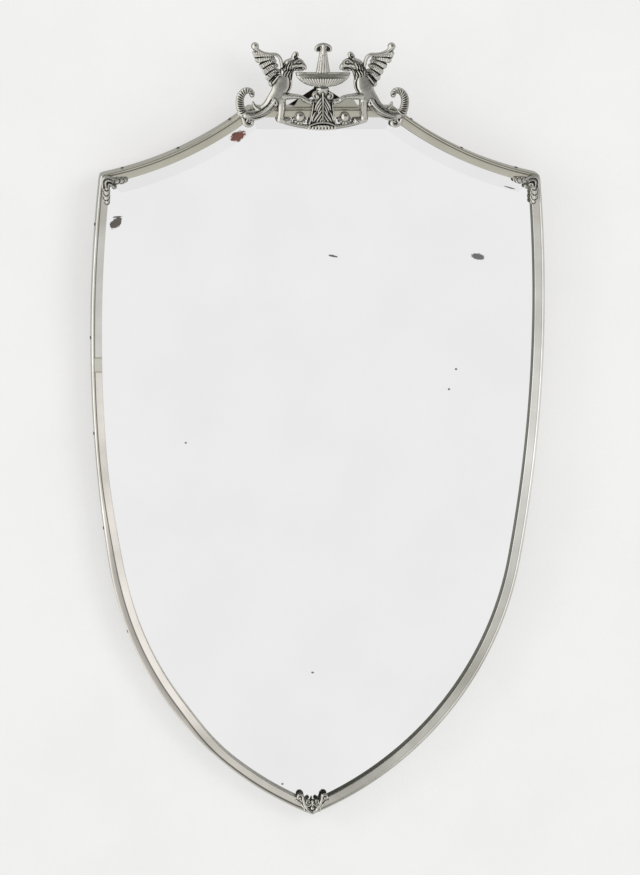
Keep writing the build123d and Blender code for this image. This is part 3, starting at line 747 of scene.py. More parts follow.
@dataclass(frozen=True)
class ShieldOutline:
    """The frame's outline in mm, measured from the nail eye: a bar, two shoulders and two bent sides."""

    half_width: float = 251.6
    widest_drop: float = 262.0
    side_radius: float = 1640.0
    side_turn: float = 9.4
    flank_radius: float = 378.0
    bar_half_length: float = 80.0
    bar_drop: float = 18.0
    corner_drop: float = 74.6
    shoulder_radius: float = 385.0
    splice_drop: float = 303.5

    @property
    def side_centre(self) -> Point:
        """Centre of the long side's arc."""
        return self.half_width - self.side_radius, -self.widest_drop

    @property
    def flank_centre(self) -> Point:
        """Centre of the flank's arc, tangent to the side's.

        Returns:
            Its x and z.
        """
        step = self.side_radius - self.flank_radius
        turn = math.radians(self.side_turn)
        return self.side_centre[0] + step * math.cos(turn), self.side_centre[1] - step * math.sin(turn)

    @property
    def shoulder_centre(self) -> Point:
        """Centre of the concave shoulder's arc.

        Returns:
            Its x and z.
        """
        top = -self.bar_drop
        low = top - self.corner_drop
        side = self.side_centre
        across = side[0] + math.sqrt(self.side_radius**2 - (low - side[1]) ** 2)
        run = (across - self.bar_half_length, low - top)
        length = math.hypot(*run)
        rise = math.sqrt(self.shoulder_radius**2 - (length / 2) ** 2)
        return (
            self.bar_half_length + run[0] / 2 - run[1] / length * rise,
            top + run[1] / 2 + run[0] / length * rise,
        )

    def bar_end(self, inset: float) -> Point:
        """Right end of the bar on the outline that lies inset inside the edge.

        Args:
            inset: distance inside the outer edge.

        Returns:
            Its x and z.
        """
        z = -self.bar_drop - inset
        centre = self.shoulder_centre
        return centre[0] - math.sqrt((self.shoulder_radius + inset) ** 2 - (z - centre[1]) ** 2), z

    def corner(self, inset: float) -> Point:
        """Right upper corner of the inset outline.

        Args:
            inset: distance inside the outer edge.

        Returns:
            Its x and z.
        """
        centre, side = self.shoulder_centre, self.side_centre
        near, far = self.shoulder_radius + inset, self.side_radius - inset
        dx, dz = side[0] - centre[0], side[1] - centre[1]
        apart = math.hypot(dx, dz)
        along = (apart**2 + near**2 - far**2) / (2 * apart)
        across = math.sqrt(near**2 - along**2)
        x = centre[0] + (along * dx - across * dz) / apart
        return x, centre[1] + (along * dz + across * dx) / apart

    def tip_angle(self, inset: float) -> float:
        """Angle in radians at which the flank's arc meets the centre line."""
        return -math.acos(-self.flank_centre[0] / (self.flank_radius - inset))

    def arcs(self, stretch: Stretch, inset: float) -> list[tuple[Point, float, float, float]]:
        """Arcs of a curved stretch on the right half.

        Args:
            stretch: which length of the outline.
            inset: distance inside the outer edge.

        Returns:
            Centre, radius, first and last angle in radians of each arc.
        """
        if stretch is Stretch.SHOULDER:
            centre, end, corner = self.shoulder_centre, self.bar_end(inset), self.corner(inset)
            first = math.atan2(end[1] - centre[1], end[0] - centre[0])
            last = math.atan2(corner[1] - centre[1], corner[0] - centre[0])
            return [(centre, self.shoulder_radius + inset, first, last)]
        side, flank = self.side_centre, self.flank_centre
        radius = self.side_radius - inset
        corner = self.corner(inset)
        first = math.atan2(corner[1] - side[1], corner[0] - side[0])
        turn = -math.radians(self.side_turn)
        splice = math.asin((-self.splice_drop - side[1]) / radius)
        if stretch is Stretch.SIDE_ABOVE_SPLICE:
            return [(side, radius, first, splice)]
        if stretch is Stretch.SIDE_BELOW_SPLICE:
            first = splice
        return [
            (side, radius, first, turn),
            (flank, self.flank_radius - inset, turn, self.tip_angle(inset)),
        ]

    def line(self, stretch: Stretch, inset: float, pitch: float) -> Array:
        """Points along a stretch.

        Args:
            stretch: which length of the outline.
            inset: distance inside the outer edge.
            pitch: distance between points in mm on the outer edge.

        Returns:
            Array of x, z rows on the right half.
        """
        if stretch is Stretch.BAR:
            end = self.bar_end(inset)
            count = max(2, round(2 * self.bar_half_length / pitch))
            return np.stack([np.linspace(-end[0], end[0], count), np.full(count, end[1])], 1)
        rows = []
        for n, (centre, radius, first, last) in enumerate(self.arcs(stretch, inset)):
            base = self.arcs(stretch, 0.0)[n]
            count = max(2, round(abs(base[3] - base[2]) * base[1] / pitch))
            angles = np.linspace(first, last, count)[(1 if n else 0) :]
            rows.append(
                np.stack([centre[0] + radius * np.cos(angles), centre[1] + radius * np.sin(angles)], 1)
            )
        return np.concatenate(rows)


@dataclass(frozen=True)
class OxideAndShade:
    """Shares of patina and painted shade on a length of the strip: beside the bead, down the inner lip, and
    on the bead.
    """

    seam: float
    lip: float
    bead: float = 0.0


@dataclass
class StripFrame:
    """The bent pewter strip: face, rolled bead, side wall and inner lip, in its six lengths."""

    outline: ShieldOutline = field(default_factory=ShieldOutline)
    face_width: float = 11.2
    sheet: float = 1.0
    depth: float = 24.0
    wall_short: float = 1.5
    bead_radius: float = 1.5
    bead_rise: float = 0.5
    lip_foot: float = 17.52
    crown: float = 0.16
    lip_round: float = 0.6
    back_y: float = -2.66
    pitch: float = 2.4
    wobble: float = 0.05
    wobble_lengths: tuple[float, ...] = (17.0, 29.0, 47.0)
    wobble_fade: float = 12.0
    corner_ease: float = 1.1
    ease_reach: float = 7.0
    ease_depth: float = 5.0
    roll_heights: tuple[float, ...] = (-752.0, -690.0, -570.0, -410.0)
    roll_shares: tuple[float, ...] = (0.0, 1.0, 1.0, 0.0)
    roll_oxide: float = 0.5
    roll_foot: float = 0.8
    channel_oxide: float = 0.6
    wall_oxide: float = 0.04

    def section(self) -> list[Point]:
        """Cross-section, in order round it: inset from the outer edge and depth in front of the back.

        Returns:
            Its points in mm.
        """
        centre = (self.bead_radius, self.depth + self.bead_rise - self.bead_radius)
        points = [(0.0, self.wall_short), (0.0, self.depth * 0.5), (0.0, centre[1] - 0.2)]
        last = math.degrees(math.asin((self.bead_radius - self.bead_rise) / self.bead_radius)) + 4
        for angle in np.radians(np.linspace(180, last, 12)):
            points.append(
                (
                    centre[0] + self.bead_radius * math.cos(angle),
                    centre[1] + self.bead_radius * math.sin(angle),
                )
            )
        start, end = points[-1][0] + 0.12, self.face_width - self.lip_round
        points.append((start, self.depth - 0.06))
        for share in np.linspace(0, 1, 12)[1:]:
            points.append(
                (start + (end - start) * share, self.depth + self.crown * math.sin(math.pi * share))
            )
        for angle in np.radians(np.linspace(90, 0, 5)[1:]):
            points.append(
                (
                    end + self.lip_round * math.cos(angle),
                    self.depth - self.lip_round + self.lip_round * math.sin(angle),
                )
            )
        inner = self.face_width - self.sheet
        points += [
            (self.face_width, self.lip_foot + 1.6), (self.face_width, self.lip_foot), (inner, self.lip_foot),
            (inner, self.depth - self.sheet - 0.1),
        ]
        points += [(self.sheet, self.depth - self.sheet - 0.1), (self.sheet, self.wall_short)]
        return points

    def crevice_patina_and_shade(self, inset: float, depth: float, oxide_and_shade: OxideAndShade) -> float:
        """Share of patina and painted shade at a place of the section: down the lip, beside the bead, or in
        the channel.

        Args:
            inset: distance inside the outer edge.
            depth: distance in front of the panel's back.
            oxide_and_shade: the length's own shares.

        Returns:
            The share, 0 to 1.
        """
        if inset >= self.face_width - 0.05 and depth < self.depth - 0.4:
            return oxide_and_shade.lip
        if depth >= self.depth - 0.3 and abs(inset - 2 * self.bead_radius) < 0.45:
            return oxide_and_shade.seam
        if depth >= self.depth - 0.3:
            return 0.0 if inset > 2 * self.bead_radius else oxide_and_shade.bead
        return max(self.wall_oxide, oxide_and_shade.bead) if inset < self.bead_radius else self.channel_oxide

    def rolled(self, stretch: Stretch, inset: float, depth: float, roll: float) -> Array:
        """One line of the section, moved in where the bead was hammered flat and wide on the flank.

        Args:
            stretch: which length of the outline.
            inset: distance of the line inside the outer edge, before.
            depth: distance of the line in front of the panel's back.
            roll: how far the bead's inner side is moved in at the most.

        Returns:
            Its x, z rows on the right half.
        """
        near = self.outline.line(stretch, inset, self.pitch)
        reach = roll * min(1.0, inset / (1.7 * self.bead_radius))
        wall = inset <= self.sheet and depth < self.depth - 1
        if wall or reach < 0.01:
            return near
        far = self.outline.line(stretch, inset + reach, self.pitch)
        return near + (far - near) * self.hammered(near)[:, None]

    def hammered(self, line: Array) -> Array:
        """Share of the hammering at each row of a line, 0 to 1."""
        share = np.interp(line[:, 1], self.roll_heights, self.roll_shares)
        return share * share * (3 - 2 * share)

    def eased(self, line: Array, along: Array, inset: float, stretch: Stretch) -> Array:
        """Pulls the outer edge in at an upper corner, which is filed round.

        Args:
            line: x, z rows on the right half.
            along: distance of each row along the outer edge.
            inset: distance of the line inside the outer edge.
            stretch: which length it belongs to.

        Returns:
            The rows, eased near the corner.
        """
        if stretch in (Stretch.BAR, Stretch.SIDE_BELOW_SPLICE):
            return line
        away = along[-1] - along if stretch is Stretch.SHOULDER else along
        near = np.clip(1 - away / self.ease_reach, 0, 1) ** 2
        pull = self.corner_ease * near * max(0.0, 1 - inset / self.ease_depth)
        outer, inner = np.array(self.outline.corner(0.0)), np.array(self.outline.corner(8.0))
        way = (inner - outer) / np.linalg.norm(inner - outer)
        return line + pull[:, None] * way

    def unevenness(self, along: Array, phase: float) -> Array:
        """Rise and fall of the face, because the strip was bent over a form by hand.

        Args:
            along: distance of each row along the outer edge.
            phase: where the waves start, which differs from length to length.

        Returns:
            The height of each row, as a share of the wobble.
        """
        waves = sum(
            math.sin(phase * k) * np.sin(along / length + phase + k)
            for k, length in enumerate(self.wobble_lengths, 1)
        )
        return waves * np.clip(np.minimum(along, along[-1] - along) / self.wobble_fade, 0, 1)

    def sweep(
        self,
        name: str,
        stretch: Stretch,
        hand: int,
        node: str,
        finish: Finish,
        oxide_and_shade: OxideAndShade,
        roll: float = 0.0,
    ) -> Thing:
        """Builds one length of the strip.

        Args:
            name: object name.
            stretch: which length of the outline.
            hand: 1 for the right half, -1 for the left.
            node: CAD node that it stands for.
            finish: the length's finish.
            oxide_and_shade: where the length is dull.
            roll: how far its bead is hammered in on the flank.

        Returns:
            The new object.
        """
        section = self.section()
        lines = [self.rolled(stretch, inset, depth, roll) for inset, depth in section]
        flat = self.hammered(lines[0]) * bool(roll)
        count = len(lines[0])
        along = np.concatenate([[0.0], np.cumsum(np.hypot(*np.diff(lines[0], axis=0).T))])
        lines = [self.eased(line, along, inset, stretch) for line, (inset, _) in zip(lines, section)]
        uneven = self.wobble * self.unevenness(along, 1.7 * len(name))
        verts, uvs = [], []
        reach = 0.0
        for k, (inset, depth) in enumerate(section):
            if k:
                reach += math.dist(section[k], section[k - 1])
            front = np.clip((depth - 0.8 * self.depth) * 2, 0, 1)
            height = depth + uneven * front
            if depth <= self.lip_foot and inset > self.sheet:
                height = height + self.roll_foot * flat
            verts.append(np.stack([hand * lines[k][:, 0], self.back_y - height, lines[k][:, 1]], 1))
            uvs.append(np.stack([along, np.full(count, reach)], 1))
        size = len(section)
        faces = []
        for k in range(size):
            after = (k + 1) % size
            for n in range(count - 1):
                quad = (k * count + n, k * count + n + 1, after * count + n + 1, after * count + n)
                faces.append(quad if hand > 0 else quad[::-1])
        ends = [
            tuple(k * count for k in range(size)),
            tuple(k * count + count - 1 for k in reversed(range(size))),
        ]
        faces += [end if hand > 0 else end[::-1] for end in ends]
        made = make_object(name, np.concatenate(verts), faces)
        layer = made.data.uv_layers.new(name="strip")
        places = np.concatenate(uvs) * MM
        corners = np.array([loop.vertex_index for loop in made.data.loops])
        layer.data.foreach_set("uv", places[corners].astype(np.float32).ravel())
        recess = made.data.attributes.new("recess", "FLOAT", "POINT")
        values = []
        for inset, depth in section:
            dull = self.roll_oxide if inset < 2 * self.bead_radius and depth > self.depth - 2 else 0.0
            values.append(np.maximum(self.crevice_patina_and_shade(inset, depth, oxide_and_shade), dull * flat))
        recess.data.foreach_set("value", np.concatenate(values).astype(np.float32))
        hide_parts(node)
        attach(made, "mirror")
        finish.dress(made)
        return made

    def build(self) -> list[Thing]:
        """Builds every length of the frame.

        Returns:
            The six lengths.
        """
        # each length's shares paint shade as well as oxide: a dark inner lip on the bar, the shoulders and
        # the right side, a light one on the left, and a dark line beside the bead on the left and along the
        # top
        top = OxideAndShade(seam=0.7, lip=0.9)
        right, left, low = OxideAndShade(seam=0.2, lip=0.9), OxideAndShade(seam=0.75, lip=0.2), OxideAndShade(
            seam=0.85, lip=0.3, bead=0.15
        )
        return [
            self.sweep("bar_strip", Stretch.BAR, 1, "top_bar", TOP_STRIP, top),
            self.sweep("shoulder_strip_right", Stretch.SHOULDER, 1, "shoulder_right", TOP_STRIP, top),
            self.sweep("shoulder_strip_left", Stretch.SHOULDER, -1, "shoulder_left", TOP_STRIP, top),
            self.sweep("side_strip_right", Stretch.SIDE, 1, "side_right", RIGHT_STRIP, right),
            self.sweep(
                "side_strip_left_upper", Stretch.SIDE_ABOVE_SPLICE, -1, "side_left_upper", STRIP, left
            ),
            self.sweep(
                "side_strip_left_lower",
                Stretch.SIDE_BELOW_SPLICE,
                -1,
                "side_left_lower",
                LOWER_LEFT_STRIP,
                low,
                4.0,
            ),
        ]


def make_object(name: str, verts_mm: Array, faces: Sequence[Sequence[int]]) -> Thing:
    """Makes a smooth mesh object at the origin, outward-facing, with its sharp edges kept.

    Args:
        name: object name.
        verts_mm: vertex rows in mm.
        faces: vertex numbers of each face.

    Returns:
        The new object, linked to the scene.
    """
    mesh = bpy.data.meshes.new(name)
    mesh.from_pydata((verts_mm * MM).tolist(), [], [list(map(int, f)) for f in faces])
    mesh.update()
    mesh.polygons.foreach_set("use_smooth", np.ones(len(mesh.polygons), bool))
    mesh.set_sharp_from_angle(angle=math.radians(42))
    made = bpy.data.objects.new(name, mesh)
    bpy.context.scene.collection.objects.link(made)
    return made


# ---------------------------------------------------------------- cast reliefs


class Join(Enum):
    """How a stroke joins the relief that is already there."""

    OVER = "over"
    BLEND = "blend"
    CARVE = "carve"
    RAISE = "raise"
    # leaves a film of stain and painted shade, and no height
    STAIN_AND_SHADE = "stain_and_shade"


def smooth_path(stations: Sequence[Station], per_span: int = 7) -> Array:
    """Runs a smooth curve through stations of x, height and radius.

    Args:
        stations: the stations, in order.
        per_span: points on each span.

    Returns:
        Array of x, height, radius rows.
    """
    rows = np.array(stations, float)
    if len(rows) < 3:
        return rows
    ends = np.concatenate([[2 * rows[0] - rows[1]], rows, [2 * rows[-1] - rows[-2]]])
    out = []
    for a, b, c, d in zip(ends[:-3], ends[1:-2], ends[2:-1], ends[3:]):
        for t in np.arange(per_span) / per_span:
            square, cube = 2 * a - 5 * b + 4 * c - d, 3 * b - a - 3 * c + d
            out.append(0.5 * (2 * b + (c - a) * t + square * t**2 + cube * t**3))
    out.append(rows[-1])
    made = np.array(out)
    made[:, 2] = np.maximum(made[:, 2], 0.2)
    return made


def ribbed(pitch: float, depth: float, slant: float = 0.0) -> Form:
    """Cross ribs along a stroke.

    Args:
        pitch: rib spacing in mm.
        depth: share of the height that the grooves take.
        slant: how far the ribs lean, in pitches from the middle to the edge.

    Returns:
        The form, from the place across and the distance along to a share of the height.
    """
    return lambda u, s: 1 - depth * (0.5 + 0.5 * np.cos(2 * np.pi * (s / pitch + slant * u))) ** 1.4


def ridged() -> Form:
    """A leaf's section: a raised midrib between two hollows, with a rolled rim."""
    return lambda u, s: 0.55 + 0.45 * np.abs(np.cos(np.pi * u)) ** 0.8


def feathered(pitch: float) -> Form:
    """A feather: barbs across it, a plain rim, and the edge nearer the body standing higher.

    Args:
        pitch: spacing of the barbs in mm.

    Returns:
        The form.
    """
    return lambda u, s: (0.9 + 0.1 * u) * (
        1 - 0.45 * (0.5 + 0.5 * np.cos(2 * np.pi * (s / pitch - 0.4 * np.abs(u)))) ** 1.2 * (
            np.abs(u) < 0.78
        )
    )


@dataclass
class Relief:
    """A casting as a height map over its flat back, drawn in strokes and turned into a closed shell."""

    low: Point
    high: Point
    pitch: float = 0.36
    floor: float = 1.2
    # how softly a blended form meets the rest, and what the deepest groove leaves, as a share of the floor
    softness: float = 1.6
    thinnest: float = 0.35
    # reach over which a hollow is judged and the depth that makes it fully dark, short and long
    hollows: tuple[Point, ...] = ((1.1, 1.0), (2.6, 2.4))
    plain_oxide: float = 0.33
    hollow_oxide: float = 1.4
    back_oxide: float = 0.05

    def __post_init__(self) -> None:
        """Lays out the grid."""
        across = np.arange(self.low[0], self.high[0] + self.pitch, self.pitch)
        up = np.arange(self.low[1], self.high[1] + self.pitch, self.pitch)
        self.x, self.h = np.meshgrid(across, up, indexing="ij")
        self.height = np.zeros_like(self.x)
        self.field = np.full_like(self.x, -9.0)
        # film of stain and painted shade that strokes leave, 0 to 1
        self.oxide_and_shade = np.zeros_like(self.x)

    def lay(self, window: tuple[slice, slice], field_in: Array, top: Array, base: float, join: Join) -> None:
        """Joins a form with the relief inside a window of the grid.

        Args:
            window: slices of the grid.
            field_in: distance inside the form's edge, negative outside.
            top: height of the form.
            base: height of the form's edge.
            join: how the form joins.
        """
        height, old = self.height[window], self.field[window]
        inside = field_in > 0
        if join is Join.CARVE:
            cut = np.maximum(height - top, self.thinnest * self.floor)
            self.height[window] = np.where(inside & (old > 0), cut, height)
            return
        if join is Join.STAIN_AND_SHADE:
            self.oxide_and_shade[window] = np.where(inside, np.maximum(self.oxide_and_shade[window], top), self.oxide_and_shade[window])
            return
        if join is Join.RAISE:
            self.height[window] = np.where(inside & (old > 0), height + top, height)
            return
        merged = np.maximum(height, top)
        if join is Join.BLEND:
            close = np.maximum(self.softness - np.abs(height - top), 0)
            merged += np.where(old > 0, close**2 / (4 * self.softness), 0)
        outer = (~inside) & (old <= 0) & (field_in > -4 * self.pitch)
        self.height[window] = np.where(inside, merged, np.where(outer, np.maximum(height, base), height))
        self.field[window] = np.maximum(old, field_in)

    def stroke(
        self,
        stations: Sequence[Station],
        rise: float | tuple[float, float],
        base: float = 1.2,
        form: Optional[Form] = None,
        join: Join = Join.OVER,
        power: float = 0.5,
    ) -> None:
        """Draws a tapering rounded form along a smooth path.

        Args:
            stations: x, height and radius along the path.
            rise: height of its crown above its edge, or the heights at its two ends.
            base: height of its edge above the back.
            form: share of the crown by the place across, -1 to 1, and the distance along.
            join: how it joins the rest.
            power: 0.5 for a round section, more for a peaked one.
        """
        path = smooth_path(stations)
        pad = float(path[:, 2].max()) + 4 * self.pitch
        window = self._window(
            path[:, 0].min() - pad, path[:, 0].max() + pad, path[:, 1].min() - pad, path[:, 1].max() + pad
        )
        x, h = self.x[window], self.h[window]
        best = np.full_like(x, 1e9)
        near, across, along = np.full_like(x, -9.0), np.zeros_like(x), np.zeros_like(x)
        gone = 0.0
        for (ax, ah, ar), (bx, bh, br) in zip(path[:-1], path[1:]):
            dx, dh = bx - ax, bh - ah
            length = math.hypot(dx, dh) or 1e-6
            t = np.clip(((x - ax) * dx + (h - ah) * dh) / length**2, 0, 1)
            px, ph = x - (ax + t * dx), h - (ah + t * dh)
            radius = ar + t * (br - ar)
            away = np.hypot(px, ph)
            share = away / radius
            closer = share < best
            best = np.where(closer, share, best)
            near = np.where(closer, radius - away, near)
            across = np.where(closer, np.sign(dx * ph - dh * px) * share, across)
            along = np.where(closer, gone + t * length, along)
            gone += length
        crown = np.clip(1 - best**2, 0, 1) ** power
        first, last = rise if isinstance(rise, tuple) else (rise, rise)
        amount = first + (last - first) * along / gone
        shape = crown if form is None else crown * form(np.clip(across, -1, 1), along)
        plain = join in (Join.CARVE, Join.RAISE, Join.STAIN_AND_SHADE)
        self.lay(window, near, amount * shape + (0 if plain else base), base, join)

    def knob(
        self, x: float, h: float, radius: float, rise: float, base: float = 1.2, join: Join = Join.OVER
    ) -> None:
        """Raises a ball, or sinks a dimple."""
        self.stroke([(x, h, radius), (x + 1e-3, h, radius)], rise, base, join=join)

    def swell(self, stations: Sequence[Station], rise: float | tuple[float, float], base: float) -> None:
        """Draws a rounded form that flows into what is there, as flesh does."""
        self.stroke(stations, rise, base, join=Join.BLEND)

    def ridge(self, stations: Sequence[Station], rise: float | tuple[float, float]) -> None:
        """Adds a rounded ridge on top of what is there."""
        self.stroke(stations, rise, join=Join.RAISE)

    def groove(self, stations: Sequence[Station], depth: float) -> None:
        """Cuts a rounded groove into what is there."""
        self.stroke(stations, depth, join=Join.CARVE)

    def stain_and_shade(self, stations: Sequence[Station], share: float, power: float) -> None:
        """Leaves an even film of stain and painted shade along a path, which fades at its edge by the power.
        """
        self.stroke(stations, share, join=Join.STAIN_AND_SHADE, power=power)

    def turned(self, profile: Sequence[Station], base: float = 1.2, form: Optional[Form] = None) -> None:
        """Draws a turned form, seen from the front.

        Args:
            profile: height, half width and relief depth, from the bottom up.
            base: height of its edge above the back.
            form: share of the relief by the place across, -1 to 1, and the height.
        """
        rows = np.array(profile, float)
        wide = float(rows[:, 1].max()) + 4 * self.pitch
        window = self._window(-wide, wide, rows[0, 0] - 4 * self.pitch, rows[-1, 0] + 4 * self.pitch)
        x, h = self.x[window], self.h[window]
        width = np.interp(h, rows[:, 0], rows[:, 1])
        depth = np.interp(h, rows[:, 0], rows[:, 2])
        share = x / width
        inside = np.minimum(np.minimum(width - np.abs(x), h - rows[0, 0]), rows[-1, 0] - h)
        crown = np.sqrt(np.clip(1 - share**2, 0, 1))
        shape = crown if form is None else crown * form(np.clip(share, -1, 1), h)
        self.lay(window, inside, base + depth * shape, base, Join.OVER)

    def scroll(
        self,
        x: float,
        h: float,
        radius: float,
        wire: float,
        turn: float,
        hand: int,
        rise: float,
        base: float,
    ) -> None:
        """Draws a spiral that closes on its centre.

        Args:
            x: centre.
            h: centre's height.
            radius: outer radius of the wire's middle line.
            wire: half width of the wire at its start.
            turn: angle in degrees at which it starts.
            hand: 1 to turn counter-clockwise.
            rise: height of the crown.
            base: height of the edge.
        """
        stations = []
        for n in range(12):
            share = n / 11
            angle = math.radians(turn + hand * 430 * share)
            reach = radius * (1 - share) ** 0.8
            stations.append(
                (x + reach * math.cos(angle), h + reach * math.sin(angle), wire * (1 - 0.45 * share))
            )
        self.stroke(stations, rise, base)

    def _window(self, x0: float, x1: float, h0: float, h1: float) -> tuple[slice, slice]:
        """Slices of the grid that cover a box.

        Args:
            x0: left end.
            x1: right end.
            h0: lower end.
            h1: upper end.

        Returns:
            Slices across and up.
        """
        i0 = max(0, int((x0 - self.low[0]) / self.pitch))
        i1 = max(i0 + 1, int((x1 - self.low[0]) / self.pitch) + 2)
        j0 = max(0, int((h0 - self.low[1]) / self.pitch))
        j1 = max(j0 + 1, int((h1 - self.low[1]) / self.pitch) + 2)
        return slice(i0, i1), slice(j0, j1)

    def blurred(self, values: Array, reach_mm: float) -> Array:
        """Soft average of values, in which the open air round the casting counts as low.

        Args:
            values: a value for each point of the grid.
            reach_mm: reach of the average.

        Returns:
            The average round each point.
        """
        total = values * (self.field > 0)
        steps = max(1, round(reach_mm / self.pitch))
        kernel = np.exp(-0.5 * (np.arange(-2 * steps, 2 * steps + 1) / steps) ** 2)
        kernel /= kernel.sum()
        for axis in (0, 1):
            total = sum(k * np.roll(total, n - 2 * steps, axis) for n, k in enumerate(kernel))
        return total

    def shell(self, name: str, back_y: float, datum: float, hand: int = 1) -> Thing:
        """Turns the height map into a closed mesh.

        Args:
            name: object name.
            back_y: Y of the casting's back, in mm.
            datum: Z at the map's height 0, in mm.
            hand: -1 mirrors it to the left.

        Returns:
            The new object, with its recess attribute.
        """
        inside, known = self.field > 0, self.field > -8
        # the outermost row is drawn in to the form's edge
        grad_x, grad_h = np.gradient(np.maximum(self.field, -4 * self.pitch), self.pitch)
        steep = np.maximum(grad_x**2 + grad_h**2, 0.3)
        shift = np.where(inside, 0.0, np.clip(self.field, -1.5 * self.pitch, 0) / steep)
        x, h = self.x - shift * grad_x, self.h - shift * grad_h
        cavity = np.zeros_like(self.height)
        for reach, depth in self.hollows:
            cavity += np.clip((self.blurred(self.height, reach) - self.height) / depth, -1, 1) * 0.5
        cells = inside[:-1, :-1] | inside[1:, :-1] | inside[:-1, 1:] | inside[1:, 1:]
        cells &= known[:-1, :-1] & known[1:, :-1] & known[:-1, 1:] & known[1:, 1:]
        number = np.arange(self.x.size).reshape(self.x.shape)
        quads = np.stack([number[:-1, :-1], number[1:, :-1], number[1:, 1:], number[:-1, 1:]], -1)[cells]
        used, packed = np.unique(quads, return_inverse=True)
        packed = packed.reshape(quads.shape)
        count = len(used)
        plan = np.stack([hand * x.ravel()[used], h.ravel()[used] + datum], 1)
        top = self.height.ravel()[used]
        front = np.stack([plan[:, 0], back_y - top, plan[:, 1]], 1)
        back = np.stack([plan[:, 0], np.full(count, back_y), plan[:, 1]], 1)
        # an edge that only one cell has is on the rim and gets a wall
        edges = np.concatenate([packed[:, [k, (k + 1) % 4]] for k in range(4)])
        keys = np.sort(edges, 1) @ np.array([count, 1])
        _, first, times = np.unique(keys, return_index=True, return_counts=True)
        rim = edges[first[times == 1]]
        walls = np.stack([rim[:, 1], rim[:, 0], rim[:, 0] + count, rim[:, 1] + count], 1)
        faces = np.concatenate([packed, packed[:, ::-1] + count, walls])
        if hand < 0:
            faces = faces[:, ::-1]
        made = make_object(name, np.concatenate([front, back]), faces)
        recess = made.data.attributes.new("recess", "FLOAT", "POINT")
        shade = np.clip(self.plain_oxide + self.hollow_oxide * cavity, 0, 1)
        # a film of stain and painted shade brings the shade to an even grey; on the plain breast it paints
        # the dark reflection of the room
        shade += (0.5 - shade) * self.oxide_and_shade
        values = np.concatenate([shade.ravel()[used], np.full(count, self.back_oxide)])
        recess.data.foreach_set("value", values.astype(np.float32))
        return made


@dataclass
class Casting:
    """A cast ornament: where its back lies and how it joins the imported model."""

    back_y: float = -27.26
    slot: str = "cast_pewter"
    body: str = "mirror"

    def fit(self, made: Thing, node: str) -> Thing:
        """Dresses a casting and lets it stand for its CAD node.

        Args:
            made: the casting.
            node: CAD node that it stands for.

        Returns:
            The same object.
        """
        CASTING.dress(made)
        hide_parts(node)
        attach(made, self.body)
        return made


